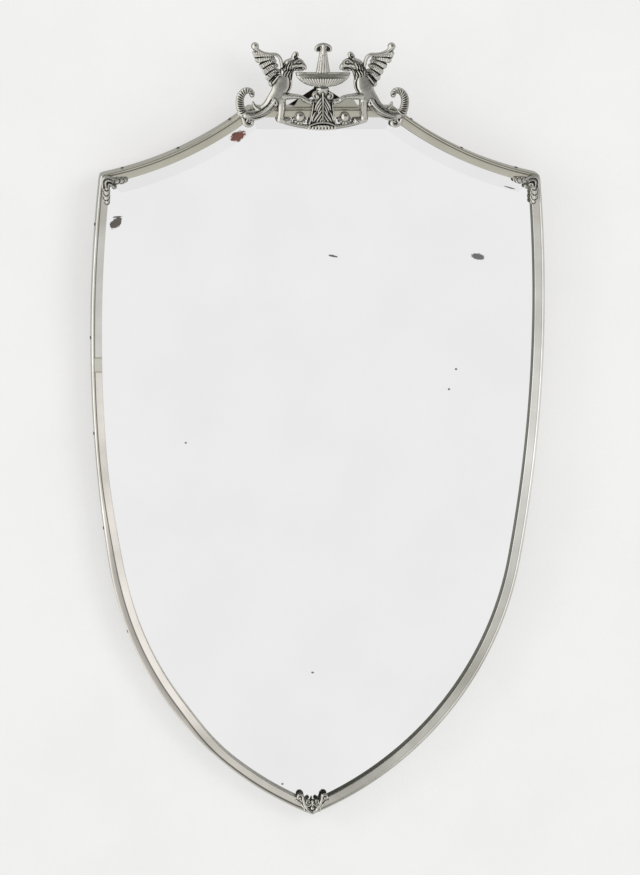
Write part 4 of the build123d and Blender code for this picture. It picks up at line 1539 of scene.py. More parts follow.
@dataclass
class Griffin(Casting):
    """The griffins that face the fountain: x outward from the centre, height above the rail's foot."""

    datum: float = -42.9
    coverts: int = 10
    body_path: Path = (
        (37.0, 71.4, 6.8), (40.0, 65.0, 7.6), (43.4, 56.5, 8.8), (45.6, 48.5, 9.4), (48.8, 41.0, 8.6),
        (54.0, 33.0, 7.8), (60.0, 25.4, 6.9), (68.0, 19.4, 6.5), (76.5, 16.0, 5.8), (83.5, 16.6, 5.0),
    )
    tail_path: Path = (
        (81.0, 15.6, 5.0), (88.4, 20.8, 4.8), (91.0, 29.6, 4.5), (90.0, 37.6, 4.2), (85.8, 42.8, 3.7),
        (80.6, 43.4, 3.2), (77.6, 40.6, 2.8),
    )
    feathers: tuple[tuple[Point, Point, float], ...] = (
        ((66.0, 84.2), (78.0, 85.0), 2.2), ((56.6, 82.2), (77.0, 82.0), 2.6),
        ((55.0, 79.4), (75.2, 77.4), 3.6), ((53.4, 76.0), (70.2, 70.2), 3.9),
        ((51.8, 71.2), (66.0, 63.0), 4.4), ((50.2, 65.4), (62.6, 56.0), 4.6),
        ((48.6, 59.6), (58.8, 48.8), 4.0),
    )
    gaps: tuple[Path, ...] = (
        ((60.0, 81.0, 0.4), (67.0, 80.6, 0.7), (75.8, 79.7, 0.9)),
        ((57.8, 77.8, 0.4), (62.8, 76.1, 0.7), (70.0, 73.0, 1.0)),
        ((54.6, 74.4, 0.4), (58.7, 72.4, 0.8), (66.0, 67.7, 1.0)),
        ((53.0, 67.7, 0.4), (57.2, 65.2, 0.8), (62.8, 60.9, 1.0)),
        ((51.0, 61.9, 0.4), (53.7, 59.4, 0.8), (58.8, 54.0, 1.0)),
    )
    wing_edge: Path = (
        (43.4, 58.0, 1.7), (44.2, 65.0, 1.8), (45.5, 72.0, 1.8), (47.6, 79.4, 1.8), (52.0, 83.2, 1.7),
        (59.0, 83.6, 1.6), (65.6, 84.8, 1.7), (70.6, 87.2, 1.8), (73.8, 89.8, 2.3),
    )
    locks: tuple[tuple[Point, Point], ...] = (
        ((35.2, 73.8), (37.4, 66.6)), ((37.6, 74.0), (40.2, 66.6)), ((40.0, 73.2), (43.0, 65.6)),
        ((42.2, 70.6), (44.4, 66.6)), ((31.4, 67.8), (34.2, 60.8)), ((33.6, 67.2), (37.6, 58.4)),
        ((36.6, 67.0), (40.6, 59.4)), ((39.6, 66.8), (43.2, 61.4)), ((31.6, 62.6), (34.2, 56.2)),
    )
    # wing
    wing_groove: Path = ((46.6, 60.0, 0.45), (47.4, 70.0, 0.45), (50.0, 78.6, 0.45))
    wing_root: Path = ((49.4, 60.0, 1.1), (55.4, 52.4, 1.1))
    # hind quarters
    hind_leg: Path = ((46.0, 33.0, 5.6), (45.2, 26.0, 4.7), (45.6, 18.5, 4.3), (46.3, 12.6, 4.1))
    leg_tendon: Path = ((43.6, 31.0, 0.9), (43.0, 24.0, 0.8), (44.2, 16.0, 0.7))
    hind_paw: Path = ((46.4, 11.4, 3.5), (41.2, 10.2, 3.4), (37.4, 10.4, 2.8))
    paw_crease: Path = ((42.0, 12.8, 0.55), (39.0, 11.4, 0.5), (40.6, 8.9, 0.5))
    upper_fold: Path = (
        (52.5, 34.0, 1.5), (56.0, 28.4, 1.6), (63.0, 21.8, 1.5), (71.0, 17.6, 1.3), (80.0, 15.4, 1.0)
    )
    lower_fold: Path = (
        (50.6, 29.0, 1.4), (54.4, 23.4, 1.5), (61.0, 17.4, 1.5), (69.0, 13.6, 1.3), (77.0, 11.6, 1.0)
    )
    upper_crease: Path = ((56.8, 34.0, 0.8), (61.0, 27.8, 0.8), (67.4, 22.6, 0.7), (74.6, 19.0, 0.6))
    lower_crease: Path = ((52.0, 26.6, 0.7), (58.0, 20.4, 0.7), (66.0, 15.6, 0.6), (74.0, 13.6, 0.5))
    rump_spur: Path = ((69.6, 23.0, 3.2), (73.2, 25.0, 2.7), (75.6, 27.8, 2.0), (76.4, 30.4, 1.3))
    # head
    skull: Path = ((37.4, 71.4, 6.9), (32.6, 73.2, 6.6), (28.6, 73.6, 6.0), (25.2, 73.2, 4.6))
    jaw: Path = ((30.4, 67.6, 2.6), (26.4, 66.8, 2.1), (22.6, 66.4, 1.5))
    beak: Path = (
        (26.2, 72.4, 4.0), (23.0, 71.9, 3.2), (20.6, 70.6, 2.2), (19.4, 68.4, 1.5), (19.6, 66.9, 0.8)
    )
    mouth: Path = ((21.2, 68.3, 0.5), (24.4, 68.9, 0.6), (28.6, 68.8, 0.6), (31.0, 67.0, 0.45))
    eye_hollow: Path = ((24.0, 74.0, 0.6), (27.4, 73.3, 0.75), (30.4, 74.1, 0.5))
    brow: Path = (
        (22.2, 74.6, 0.8), (24.0, 77.0, 0.9), (26.8, 78.1, 1.0), (30.0, 76.3, 0.9), (32.0, 74.4, 0.7)
    )
    crown_line: Path = ((26.2, 79.8, 0.6), (30.2, 78.6, 0.7), (33.0, 76.6, 0.6))
    cheek: Path = ((29.4, 72.0, 1.4), (32.8, 71.0, 1.9))
    ear: Path = ((33.2, 77.8, 2.0), (31.6, 81.0, 3.3), (30.0, 83.2, 3.2))
    ear_hollow: Path = ((31.8, 80.4, 0.9), (30.8, 82.0, 1.4), (29.8, 83.4, 0.9))
    ear_rim: Path = ((30.6, 83.6, 0.7), (31.4, 81.8, 0.7))
    # raised foreleg and chest
    foreleg: Path = (
        (43.0, 37.6, 4.6), (37.0, 37.2, 3.7), (30.0, 36.9, 2.7), (24.0, 36.2, 2.3), (20.0, 34.0, 2.4)
    )
    foreleg_tendon: Path = ((42.0, 39.6, 0.9), (35.6, 38.8, 0.8), (27.0, 38.0, 0.6))
    foreleg_crease: Path = ((39.4, 34.6, 0.7), (32.0, 35.4, 0.6))
    fore_paw: Path = ((20.4, 33.6, 2.5), (16.8, 32.0, 2.8), (14.2, 31.4, 2.4))
    chest_rim: Path = ((36.4, 61.0, 1.3), (34.9, 54.0, 1.1), (35.6, 47.0, 1.0), (38.6, 41.4, 0.9))
    chest_crease: Path = ((38.0, 59.6, 0.6), (36.6, 53.4, 0.6), (37.2, 47.0, 0.6), (39.8, 42.4, 0.5))
    # tail and the scroll under it
    knob_groove: Path = ((78.6, 40.2, 0.6), (76.4, 39.6, 0.5))
    tail_leaf: Path = ((83.0, 14.0, 3.0), (88.0, 15.4, 2.6), (92.2, 18.4, 1.4))
    foot_scroll: Path = (
        (87.4, 12.6, 2.3), (85.4, 7.6, 2.5), (81.4, 5.2, 2.5), (77.8, 6.4, 2.3), (77.2, 9.6, 1.9),
        (79.6, 10.6, 1.5),
    )
    # plain breast and belly
    breast: Path = ((45.4, 55.0, 6.4), (46.8, 50.0, 8.0))
    belly: Path = ((47.4, 47.0, 7.6), (53.4, 37.0, 6.8))

    def wing(self, relief: Relief) -> None:
        """Draws seven feathers from the lowest up, the coverts and the leading edge.

        Args:
            relief: the griffin's relief.
        """
        count = len(self.feathers)
        for n in reversed(range(count)):
            root, tip, half = self.feathers[n]
            run = (tip[0] - root[0], tip[1] - root[1])
            length = math.hypot(*run)
            side = (-run[1] / length, run[0] / length)
            stop = 1 - half / length
            middle = (root[0] + 0.5 * run[0] + 0.4 * side[0], root[1] + 0.5 * run[1] + 0.4 * side[1])
            end = (root[0] + stop * run[0], root[1] + stop * run[1])
            stations = [(*root, 0.55 * half), (*middle, 0.78 * half), (*end, half)]
            relief.stroke(stations, (2.0, 1.8), 1.3 + 0.4 * (count - n), feathered(2.0))
        for gap in self.gaps:
            relief.groove([(x, h, 0.8 * r) for x, h, r in gap], 2.0)
        # coverts along the leading edge
        for share in np.linspace(0, 1, self.coverts):
            x = 46.4 + 5.4 * share**1.6
            h = 58.6 + 21.4 * share
            relief.ridge([(x + 0.4, h, 0.8), (x + 6.0, h - 2.4 + 2.0 * share, 0.6)], 1.1)
        relief.stroke(self.wing_edge, 2.3, 3.8)
        relief.groove(self.wing_groove, 1.4)
        # the ball on the wing's tip, on its neck
        relief.knob(74.6, 88.6, 2.6, 3.4)
        relief.knob(75.1, 92.2, 4.3, 5.2, 1.6)
        relief.stroke(self.wing_root, 1.7, 6.0)

    def haunch(self, relief: Relief) -> None:
        """Draws the hind quarters: thigh scroll, long folds, standing leg and paw.

        Args:
            relief: the griffin's relief.
        """
        relief.swell(self.hind_leg, (5.0, 4.2), 1.4)
        relief.ridge(self.leg_tendon, 1.1)
        relief.swell(self.hind_paw, (4.0, 3.6), 1.4)
        for toe in ((35.8, 12.2), (34.8, 10.2), (35.8, 8.2)):
            relief.stroke([(38.6, toe[1] * 0.6 + 4.1, 1.2), (*toe, 1.35)], 1.6, 2.6)
        relief.groove(self.paw_crease, 0.9)
        relief.ridge(self.upper_fold, 1.5)
        relief.ridge(self.lower_fold, 1.5)
        relief.groove(self.upper_crease, 1.2)
        relief.groove(self.lower_crease, 1.4)
        relief.scroll(52.8, 31.4, radius=3.6, wire=1.3, turn=70, hand=-1, rise=2.0, base=5.4)
        relief.swell(self.rump_spur, (3.6, 1.8), 1.3)

    def head(self, relief: Relief) -> None:
        """Draws skull, hooked beak, jaw, brow, eye, ear and the neck's feathers.

        Args:
            relief: the griffin's relief.
        """
        relief.swell(self.skull, (5.0, 4.4), 1.8)
        relief.stroke(self.jaw, (3.8, 2.8), 1.6)
        relief.stroke(self.beak, (4.8, 3.2), 1.6)
        relief.groove(self.mouth, 2.2)
        # corner of the mouth, and nostril
        relief.knob(27.2, 66.6, 0.8, 1.4, join=Join.CARVE)
        relief.knob(21.4, 72.9, 0.7, 1.4, join=Join.CARVE)
        relief.groove(self.eye_hollow, 1.5)
        relief.ridge(self.brow, 1.7)
        relief.groove(self.crown_line, 1.2)
        # eye
        relief.knob(26.4, 75.5, 1.3, 1.6, join=Join.RAISE)
        relief.ridge(self.cheek, 0.9)
        relief.stroke(self.ear, (3.6, 3.2), 1.6)
        relief.groove(self.ear_hollow, 2.2)
        relief.ridge(self.ear_rim, 1.4)
        for start, end in self.locks:
            bend = ((start[0] + end[0]) / 2 + 0.5, (start[1] + end[1]) / 2 + 0.2)
            shade = [
                (start[0] + 1.3, start[1], 0.5), (bend[0] + 1.35, bend[1], 0.6), (end[0] + 1.0, end[1], 0.4)
            ]
            relief.ridge([(*start, 0.8), (*bend, 1.2), (*end, 0.6)], (1.3, 1.9))
            relief.groove(shade, 1.7)

    def limbs(self, relief: Relief) -> None:
        """Draws the raised foreleg, its paw on the volute, and the chest's rim.

        Args:
            relief: the griffin's relief.
        """
        relief.swell(self.foreleg, (5.4, 4.2), 1.4)
        relief.ridge(self.foreleg_tendon, 1.1)
        relief.groove(self.foreleg_crease, 0.9)
        relief.swell(self.fore_paw, (3.8, 3.0), 1.6)
        for toe in ((12.6, 33.0), (12.0, 31.0), (12.8, 29.2)):
            relief.stroke([(15.6, 31.6, 1.0), (*toe, 1.2)], 1.6, 2.8)
        relief.stroke(self.chest_rim, 1.8, 2.4)
        relief.groove(self.chest_crease, 1.5)

    def tail(self, relief: Relief) -> None:
        """Draws the ribbed, curled tail, its knob, and the leaf and scroll under it.

        Args:
            relief: the griffin's relief.
        """
        relief.stroke(self.tail_path, (4.2, 3.0), 1.8, ribbed(2.5, 0.42, 0.55))
        relief.knob(77.8, 38.8, 2.9, 3.6, 1.6)
        relief.groove(self.knob_groove, 1.4)
        relief.stroke(self.tail_leaf, (3.4, 2.0), 1.4, ridged())
        relief.stroke(self.foot_scroll, (3.6, 3.0), 1.6)
        relief.knob(80.4, 9.2, 1.7, 3.0, 2.0)
        for x, h in ((78.8, 14.4), (82.2, 12.6)):
            relief.stroke([(x, h, 1.6), (x + 1.8, h - 3.4, 1.1)], 1.8, 3.2, ridged())

    def build(self) -> list[Thing]:
        """Builds both griffins from one mould.

        Returns:
            The right and the left griffin.
        """
        relief = Relief((8.0, 0.0), (98.0, 98.5))
        relief.stroke(self.body_path, (5.6, 4.2), 1.8)
        self.wing(relief)
        self.tail(relief)
        self.haunch(relief)
        self.limbs(relief)
        self.head(relief)
        # painted shade: the plain breast keeps an even grey film, and the belly a weaker one, as if they
        # reflected a dim room
        relief.stain_and_shade(self.breast, 1.0, 0.25)
        relief.stain_and_shade(self.belly, 0.6, 0.5)
        return [
            self.fit(relief.shell("griffin_casting_right", self.back_y, self.datum, 1), "griffin_right"),
            self.fit(relief.shell("griffin_casting_left", self.back_y, self.datum, -1), "griffin_left"),
        ]


@dataclass
class Fountain(Casting):
    """Pedestal, basin, jet, rosettes and base rail, as separate castings on one centre line."""

    datum: float = -42.9
    gadroons: int = 19
    flutes: int = 5
    scallops: int = 9
    rosette_x: float = 24.7
    rosette_leaves: int = 6
    rosette_span: Point = (188.0, 352.0)
    rail_half_length: float = 46.6
    rail_sag: float = 7.8
    # pedestal
    pedestal_profile: Path = (
        (3.4, 14.8, 3.2), (8.0, 14.4, 3.4), (14.0, 12.8, 3.6), (22.0, 11.6, 3.8), (30.0, 10.6, 3.8),
        (40.0, 8.8, 3.8), (44.0, 6.6, 3.8),
    )
    midrib: Path = ((-0.4, 41.0, 1.5), (0.0, 30.0, 1.1), (0.0, 18.0, 1.0), (0.0, 10.0, 0.9))
    foot_arch: Path = (
        (-14.4, 5.0, 1.0), (-8.0, 7.8, 1.1), (0.0, 8.8, 1.1), (8.0, 7.8, 1.1), (14.4, 5.0, 1.0)
    )
    arch_groove: Path = (
        (-12.6, 4.6, 0.6), (-7.0, 6.2, 0.8), (0.0, 6.8, 0.9), (7.0, 6.2, 0.8), (12.6, 4.6, 0.6)
    )
    leaf_ridges: tuple[Path, ...] = (
        ((10.2, 31.0, 0.7), (11.2, 23.0, 0.9), (12.8, 14.0, 1.0), (14.4, 7.4, 1.1)),
        ((1.2, 36.6, 0.9), (3.6, 33.0, 1.3), (7.0, 27.6, 1.4), (8.8, 22.4, 0.7)),
        ((1.0, 33.0, 0.8), (3.2, 29.0, 1.2), (5.8, 24.6, 1.2), (7.0, 20.6, 0.6)),
        ((0.9, 29.0, 0.8), (2.6, 25.4, 1.1), (4.4, 21.6, 1.1), (5.0, 18.4, 0.6)),
        ((1.0, 22.6, 0.9), (3.8, 18.6, 1.3), (7.4, 13.8, 1.5), (9.8, 10.0, 0.8)),
        ((0.9, 18.4, 0.8), (3.0, 14.6, 1.2), (5.4, 11.4, 1.2), (6.4, 9.2, 0.7)),
        ((8.2, 20.0, 0.8), (10.2, 16.2, 1.2), (11.4, 12.4, 1.1), (11.6, 9.4, 0.7)),
        ((0.8, 13.8, 0.8), (2.0, 11.2, 1.0), (2.6, 9.0, 0.8)),
    )
    # basin
    basin_profile: Path = (
        (47.4, 5.4, 4.6), (48.6, 13.6, 5.2), (50.6, 19.2, 5.8), (53.0, 23.4, 6.4), (56.0, 26.8, 7.0),
        (58.6, 28.8, 7.4), (60.8, 29.9, 7.6), (63.6, 30.3, 7.6),
    )
    collar_profile: Path = (
        (43.4, 6.3, 4.4), (44.6, 6.9, 5.0), (46.0, 6.9, 5.0), (47.2, 5.6, 4.4), (48.2, 6.4, 4.6)
    )
    collar_groove: Path = ((-5.2, 47.2, 0.5), (5.2, 47.2, 0.5))
    # jet
    column_profile: Path = (
        (62.8, 8.0, 3.8), (70.0, 6.8, 3.5), (80.0, 5.0, 3.2), (90.0, 3.8, 3.4), (94.4, 4.6, 3.8)
    )
    cap: Path = ((-5.6, 89.6, 3.0), (0.0, 90.8, 3.4), (5.6, 89.6, 3.0))
    cap_rim: Path = (
        (-6.2, 86.9, 1.1), (-8.3, 88.4, 1.3), (-7.4, 91.6, 1.5), (-4.0, 93.7, 1.6), (0.0, 94.4, 1.6)
    )
    plume: Path = ((0.0, 84.0, 1.3), (0.0, 93.4, 1.5))

    def pedestal(self) -> Thing:
        """Builds the acanthus pedestal with its volutes and scalloped foot.

        Returns:
            The casting.
        """
        relief = Relief((-17.0, -1.6), (17.0, 46.5))
        relief.turned(self.pedestal_profile)
        for hand in (1, -1):
            for ridge in self.leaf_ridges:
                relief.stroke([(hand * x, h, r) for x, h, r in ridge], 2.3, 3.6)
            relief.scroll(hand * 7.0, 37.6, radius=4.2, wire=1.4, turn=90, hand=-hand, rise=2.6, base=3.8)
            relief.stroke([(hand * 7.2, 39.0, 1.7), (hand * 6.8, 36.4, 1.8)], 2.6, 3.8)
        relief.stroke(self.midrib, 2.4, 5.4, power=0.8)
        relief.stroke(self.foot_arch, 1.5, 5.0)
        relief.groove(self.arch_groove, 2.6)
        for share in np.linspace(-1, 1, self.scallops):
            relief.stroke(
                [(14.0 * share, 4.4 - 0.8 * share**2, 1.5), (14.6 * share, 1.2 + 0.9 * share**2, 1.7)],
                2.6,
                2.6,
            )
        return self.fit(relief.shell("pedestal_casting", self.back_y, self.datum), "fountain_pedestal")

    def basin(self) -> Thing:
        """Builds the basin: collar, gadrooned belly, hollow band and two rim mouldings.

        Returns:
            The casting.
        """
        relief = Relief((-32.0, 42.0), (32.0, 65.5))

        def belly(share: Array, h: Array) -> Array:
            """Gadroons that fan out from the foot and end in a scalloped line.

            Args:
                share: place across, -1 to 1.
                h: height.

            Returns:
                Share of the relief.
            """
            rib = np.abs(np.cos(math.pi * share * self.gadroons / 2)) ** 0.6
            zone = np.clip((56.4 + 1.3 * rib - h) / 0.6, 0, 1)
            band = np.clip(1 - np.abs(h - 58.9) / 1.3, 0, 1)
            lip = np.exp(-(((h - 60.7) / 0.45) ** 2)) + 1.7 * np.exp(-(((h - 62.7) / 0.6) ** 2))
            return 0.64 + 0.15 * rib * zone - 0.03 * (1 - zone) - 0.03 * band + 0.14 * lip

        relief.turned(self.basin_profile, 0.9, belly)
        relief.turned(self.collar_profile, 1.2)
        relief.groove(self.collar_groove, 1.4)
        return self.fit(relief.shell("basin_casting", self.back_y, self.datum), "fountain_basin")

    def jet(self) -> Thing:
        """Builds the jet of water: a fluted column that spreads into a curling cap.

        Returns:
            The casting.
        """
        relief = Relief((-12.0, 62.0), (12.0, 97.5))

        def streams(share: Array, h: Array) -> Array:
            """Streams that run up the column."""
            return 0.74 + 0.26 * np.abs(np.cos(share * math.pi * self.flutes / 2)) ** 0.6

        relief.turned(self.column_profile, 1.1, streams)
        relief.stroke(self.cap, 0.6, 1.6)
        right = [(-x, h, r) for x, h, r in self.cap_rim[-2::-1]]
        relief.stroke([*self.cap_rim, *right], 2.6, 1.8)
        for hand in (1, -1):
            relief.stroke([(hand * 1.2, 87.6, 0.8), (hand * 3.2, 91.2, 0.9)], 1.4, 2.8)
        relief.stroke(self.plume, 1.5, 3.8)
        return self.fit(relief.shell("jet_casting", self.back_y, self.datum), "water_jet")

    def rosette(self, hand: int) -> Thing:
        """Builds a ball rosette with its leaves.

        Args:
            hand: 1 for the right, -1 for the left.

        Returns:
            The casting.
        """
        relief = Relief((15.5, 4.0), (33.5, 21.5))
        x = self.rosette_x
        for angle in np.radians(np.linspace(*self.rosette_span, self.rosette_leaves)):
            tip = (x + 6.2 * math.cos(angle), 13.2 + 5.9 * math.sin(angle))
            relief.stroke([(x, 12.4, 1.8), (*tip, 1.5)], 2.2, 1.6, ridged())
        relief.knob(x, 14.8, 5.5, 5.4, 1.6)
        name = "right" if hand > 0 else "left"
        return self.fit(
            relief.shell(f"rosette_casting_{name}", self.back_y, self.datum, hand), f"rosette_{name}"
        )

    def rail(self) -> Thing:
        """Builds the shallow rail under the fountain, with a groove along each edge.

        Returns:
            The casting.
        """
        relief = Relief((-50.0, -2.0), (50.0, 15.5))
        end = self.rail_half_length
        middle = [(x, 2.4 + self.rail_sag * (x / end) ** 2, 2.3) for x in np.linspace(-end, end, 13)]
        relief.stroke(middle, 1.7, 1.1)
        for edge in (-1.1, 1.1):
            relief.groove([(x, h + edge, 0.35) for x, h, _ in middle], 0.5)
        return self.fit(relief.shell("rail_casting", self.back_y, self.datum), "crest_rail")

    def build(self) -> list[Thing]:
        """Builds the whole fountain."""
        return [self.rail(), self.pedestal(), self.basin(), self.jet(), self.rosette(1), self.rosette(-1)]


@dataclass
class FoliageMounts(Casting):
    """Cast leaves over the frame's upper corners and its lower point."""

    outline: ShieldOutline = field(default_factory=ShieldOutline)
    middle: float = 5.6
    grid: float = 0.33
    # distances inward and down from the frame's upper corner, and radii
    arm_inward: Path = ((12.4, 6.4, 3.6), (17.4, 6.2, 4.2), (22.2, 6.0, 4.2), (26.4, 5.2, 3.2))
    arm_down: Path = ((6.6, 14.0, 3.6), (6.2, 19.0, 4.4), (6.2, 24.4, 4.4), (7.0, 29.4, 3.3))
    shell_rim: Path = (
        (15.4, 4.8, 1.2), (10.0, 2.4, 1.5), (4.6, 2.6, 1.5), (1.6, 6.6, 1.4), (2.0, 13.6, 1.1)
    )
    # distances sideways and up from the frame's lower point, and radii
    foot_stem: Path = (
        (11.0, 21.6, 1.4), (10.2, 16.6, 1.8), (8.0, 11.2, 2.0), (4.4, 6.2, 1.9), (0.0, 3.6, 1.6)
    )

    def along(self, arc: tuple[Point, float, float, float], distance: float, offset: float = 0.0) -> Point:
        """Point on an arc, or beside it.

        Args:
            arc: centre, radius, first and last angle.
            distance: how far from the first angle, or from the last if negative.
            offset: how far outside the arc.

        Returns:
            Its x and z.
        """
        centre, radius, first, last = arc
        way = math.copysign(1.0, last - first)
        angle = first + way * distance / radius if distance >= 0 else last + way * distance / radius
        reach = radius + offset
        return centre[0] + reach * math.cos(angle), centre[1] + reach * math.sin(angle)

    def lobes(self, relief: Relief, stations: Sequence[Station], base: float = 1.1) -> None:
        """Draws a leaf of overlapping lobes from its outer end inward, each with a rim line and a vein.

        Args:
            relief: the relief that gets it.
            stations: x, height and radius of each lobe, from the inner end.
            base: height of the outermost lobe's edge above the back.
        """
        count = len(stations)
        for n in reversed(range(count)):
            x, h, r = stations[n]
            near, far = stations[max(n - 1, 0)], stations[max(n, 1)]
            length = math.hypot(far[0] - near[0], far[1] - near[1])
            dx, dh = (far[0] - near[0]) / length, (far[1] - near[1]) / length
            lobe = [(x - 0.8 * r * dx, h - 0.8 * r * dh, 0.75 * r), (x + 0.2 * r * dx, h + 0.2 * r * dh, r)]
            relief.stroke(lobe, 1.9, base + 0.4 * (count - 1 - n))
            for side in (1, -1):
                rim = [
                    (x + r * (a * dx - side * b * dh), h + r * (a * dh + side * b * dx), wide)
                    for a, b, wide in ((-0.5, 0.66, 0.4), (0.35, 0.7, 0.55), (0.85, 0.1, 0.5))
                ]
                relief.groove(rim, 1.0)
            relief.ridge(
                [(x - 0.5 * r * dx, h - 0.5 * r * dh, 0.6), (x + 0.5 * r * dx, h + 0.5 * r * dh, 0.5)], 0.8
            )

    def corners(self) -> list[Thing]:
        """Builds the two corner mounts from one mould: two leaved arms, a shell and a berry.

        Returns:
            The right and the left mount.
        """
        x, z = self.outline.corner(0.0)
        relief = Relief((x - 43.0, z - 39.5), (x + 5.0, z + 8.5), self.grid, 0.9)

        def from_corner(*rows: Station) -> list[Station]:
            """Stations given as distances inward and down from the frame's outer corner."""
            return [(x - across, z - down, radius) for across, down, radius in rows]

        self.lobes(relief, from_corner(*self.arm_inward))
        self.lobes(relief, from_corner(*self.arm_down))
        # the shell in the corner: its body, its rolled rim and its ribs
        relief.stroke(from_corner((9.4, 6.6, 5.6), (6.8, 9.2, 5.4)), 1.7, 1.9)
        relief.stroke(from_corner(*self.shell_rim), 2.0, 2.2)
        relief.ridge(from_corner((12.6, 7.0, 1.0), (8.6, 5.4, 1.2), (5.4, 7.2, 1.2), (5.4, 12.0, 1.0)), 1.4)
        relief.ridge(from_corner((12.0, 10.6, 1.0), (9.0, 9.4, 1.2), (8.4, 13.0, 1.0)), 1.3)
        relief.groove(from_corner((10.8, 8.4, 0.6), (7.6, 7.9, 0.7), (6.8, 12.4, 0.5)), 1.2)
        # the berry on its stalk, dull all over
        relief.stroke(from_corner((9.8, 10.2, 2.0), (13.4, 11.6, 2.0)), 1.8, 1.6)
        berry = (x - 15.0, z - 12.8)
        relief.knob(*berry, 2.9, 3.2, 1.2)
        relief.knob(*berry, 3.4, 1.0, join=Join.STAIN_AND_SHADE)
        # a half film of stain and painted shade brings the shell's bright crowns and dark hollows toward an
        # even grey
        relief.stain_and_shade(from_corner((15.0, 4.6, 3.0), (8.4, 7.0, 7.0), (4.6, 14.0, 3.0)), 0.55, 0.2)
        return [
            self.fit(relief.shell("corner_casting_right", self.back_y, 0.0, 1), "corner_mount_right"),
            self.fit(relief.shell("corner_casting_left", self.back_y, 0.0, -1), "corner_mount_left"),
        ]

    def foot(self) -> Thing:
        """Builds the foot mount: two arms that end in scrolls, two small volutes, and ridges on the point.

        Returns:
            The casting.
        """
        flank = self.outline.arcs(Stretch.SIDE, self.middle)[1]
        angle = self.outline.tip_angle(0.0)
        centre = self.outline.flank_centre
        tip = centre[1] + self.outline.flank_radius * math.sin(angle)
        relief = Relief((-25.0, tip - 1.5), (25.0, tip + 30.0), self.grid, 0.9)
        for hand in (1, -1):
            ends = [
                self.along(flank, distance, offset)
                for distance, offset in ((-2, 0.4), (-8, 0.6), (-13.5, -0.4))
            ]
            arm = [(hand * place[0], place[1], radius) for place, radius in zip(ends, (2.4, 2.2, 1.5))]
            relief.stroke(arm, (1.7, 1.5), 0.9)
            relief.stroke([(hand * x, tip + up, r) for x, up, r in self.foot_stem], (2.2, 1.9), 1.3)
            start = 180 if hand > 0 else 0
            relief.scroll(
                hand * 14.4, tip + 20.4, radius=3.6, wire=1.4, turn=start, hand=-hand, rise=2.0, base=1.4
            )
            relief.knob(hand * 14.6, tip + 20.2, 1.4, 1.9, 1.4)
            relief.stroke([(hand * 17.4, tip + 17.0, 1.4), (hand * 13.8, tip + 14.6, 1.3)], 1.6, 1.2)
            relief.stroke(
                [(hand * 12.4, tip + 13.0, 1.1), (hand * 9.4, tip + 8.6, 1.1), (hand * 8.4, tip + 4.4, 0.8)],
                1.5,
                1.2,
            )
            relief.scroll(
                hand * 4.7, tip + 15.4, radius=2.6, wire=1.1, turn=270, hand=hand, rise=1.9, base=1.4
            )
            relief.stroke(
                [
                    (hand * 7.6, tip + 11.8, 1.0), (hand * 4.4, tip + 10.8, 1.2),
                    (hand * 1.2, tip + 12.8, 1.0),
                ],
                1.6,
                2.0,
            )
        relief.stroke([(-6.4, tip + 7.4, 1.1), (0.0, tip + 2.4, 1.4), (6.4, tip + 7.4, 1.1)], 1.8, 2.0)
        relief.knob(0.0, tip + 8.4, 2.5, 2.8, 1.8)
        relief.stroke([(0.0, tip + 11.0, 1.9), (0.0, tip + 15.6, 1.5)], 1.8, 1.4, ridged())
        return self.fit(relief.shell("foot_casting", self.back_y, 0.0), "foot_mount")

    def build(self) -> list[Thing]:
        """Builds the three mounts."""
        return [*self.corners(), self.foot()]


# ---------------------------------------------------------------- plate, back and loop


@dataclass
class MirrorPlate:
    """The silvered plate, whose CAD solid already has its bevel."""

    plate: SilveredPlate = SilveredPlate(
        "silvered_plate_glass",
        "#F9F9F9",
        0.015,
        1.0,
        blemishes=(
            Blemish(-91.8, -50.6, 9.0, 5.6, "#6A4238", 24.0),
            Blemish(-225.2, -146.4, 8.2, 5.0, "#524D48", 42.0),
            Blemish(-224.0, -139.8, 4.8, 1.0, "#4F4D49", 4.0),
            Blemish(15.1, -183.9, 5.4, 1.2, "#5B5B58", -12.0),
            Blemish(176.3, -185.0, 7.4, 3.4, "#5F6060", -8.0),
            Blemish(210.6, -108.2, 7.0, 0.8, "#5A5A54", -15.0),
            Blemish(154.2, -311.2, 1.6, 1.4, "#6F6F6C"),
            Blemish(146.7, -333.9, 1.5, 1.2, "#6F6F6C"),
            Blemish(-146.1, -392.4, 1.5, 1.1, "#74726E"),
            Blemish(-1.1, -655.2, 1.7, 1.2, "#6A6865"),
            Blemish(-33.4, -783.4, 1.3, 1.2, "#7A7875"),
        ),
    )

    def build(self, nodes: dict[str, Thing]) -> list[Thing]:
        """Dresses the plate."""
        self.plate.dress(nodes["mirror_glass"])
        return [nodes["mirror_glass"]]


@dataclass
class BackAndLoop:
    """Everything behind the plate, and the iron hanging loop with its keeper."""

    finishes: tuple[tuple[str, Finish], ...] = (
        ("back_panel", BOARD),
        ("batten_top", BATTEN),
        ("batten_left", BATTEN),
        ("batten_right", BATTEN),
        ("packing_strips", BATTEN),
        ("backing_paper", PAPER),
        ("cork_blocks", CORK),
        ("hanging_loop", IRON),
        ("loop_keeper", IRON),
        ("keeper_screws", STEEL),
        ("frame_nails", STEEL),
        ("panel_screws", BRASS),
        ("splice_patch", PATCH),
        ("crest_stay", SHEET),
        ("crest_rivets", CASTING),
    )

    def build(self, nodes: dict[str, Thing]) -> list[Thing]:
        """Dresses each node with its finish.

        Args:
            nodes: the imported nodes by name.

        Returns:
            The dressed nodes, in order.
        """
        for name, finish in self.finishes:
            finish.dress(nodes[name])
        return [nodes[name] for name, _ in self.finishes]


# ---------------------------------------------------------------- studio


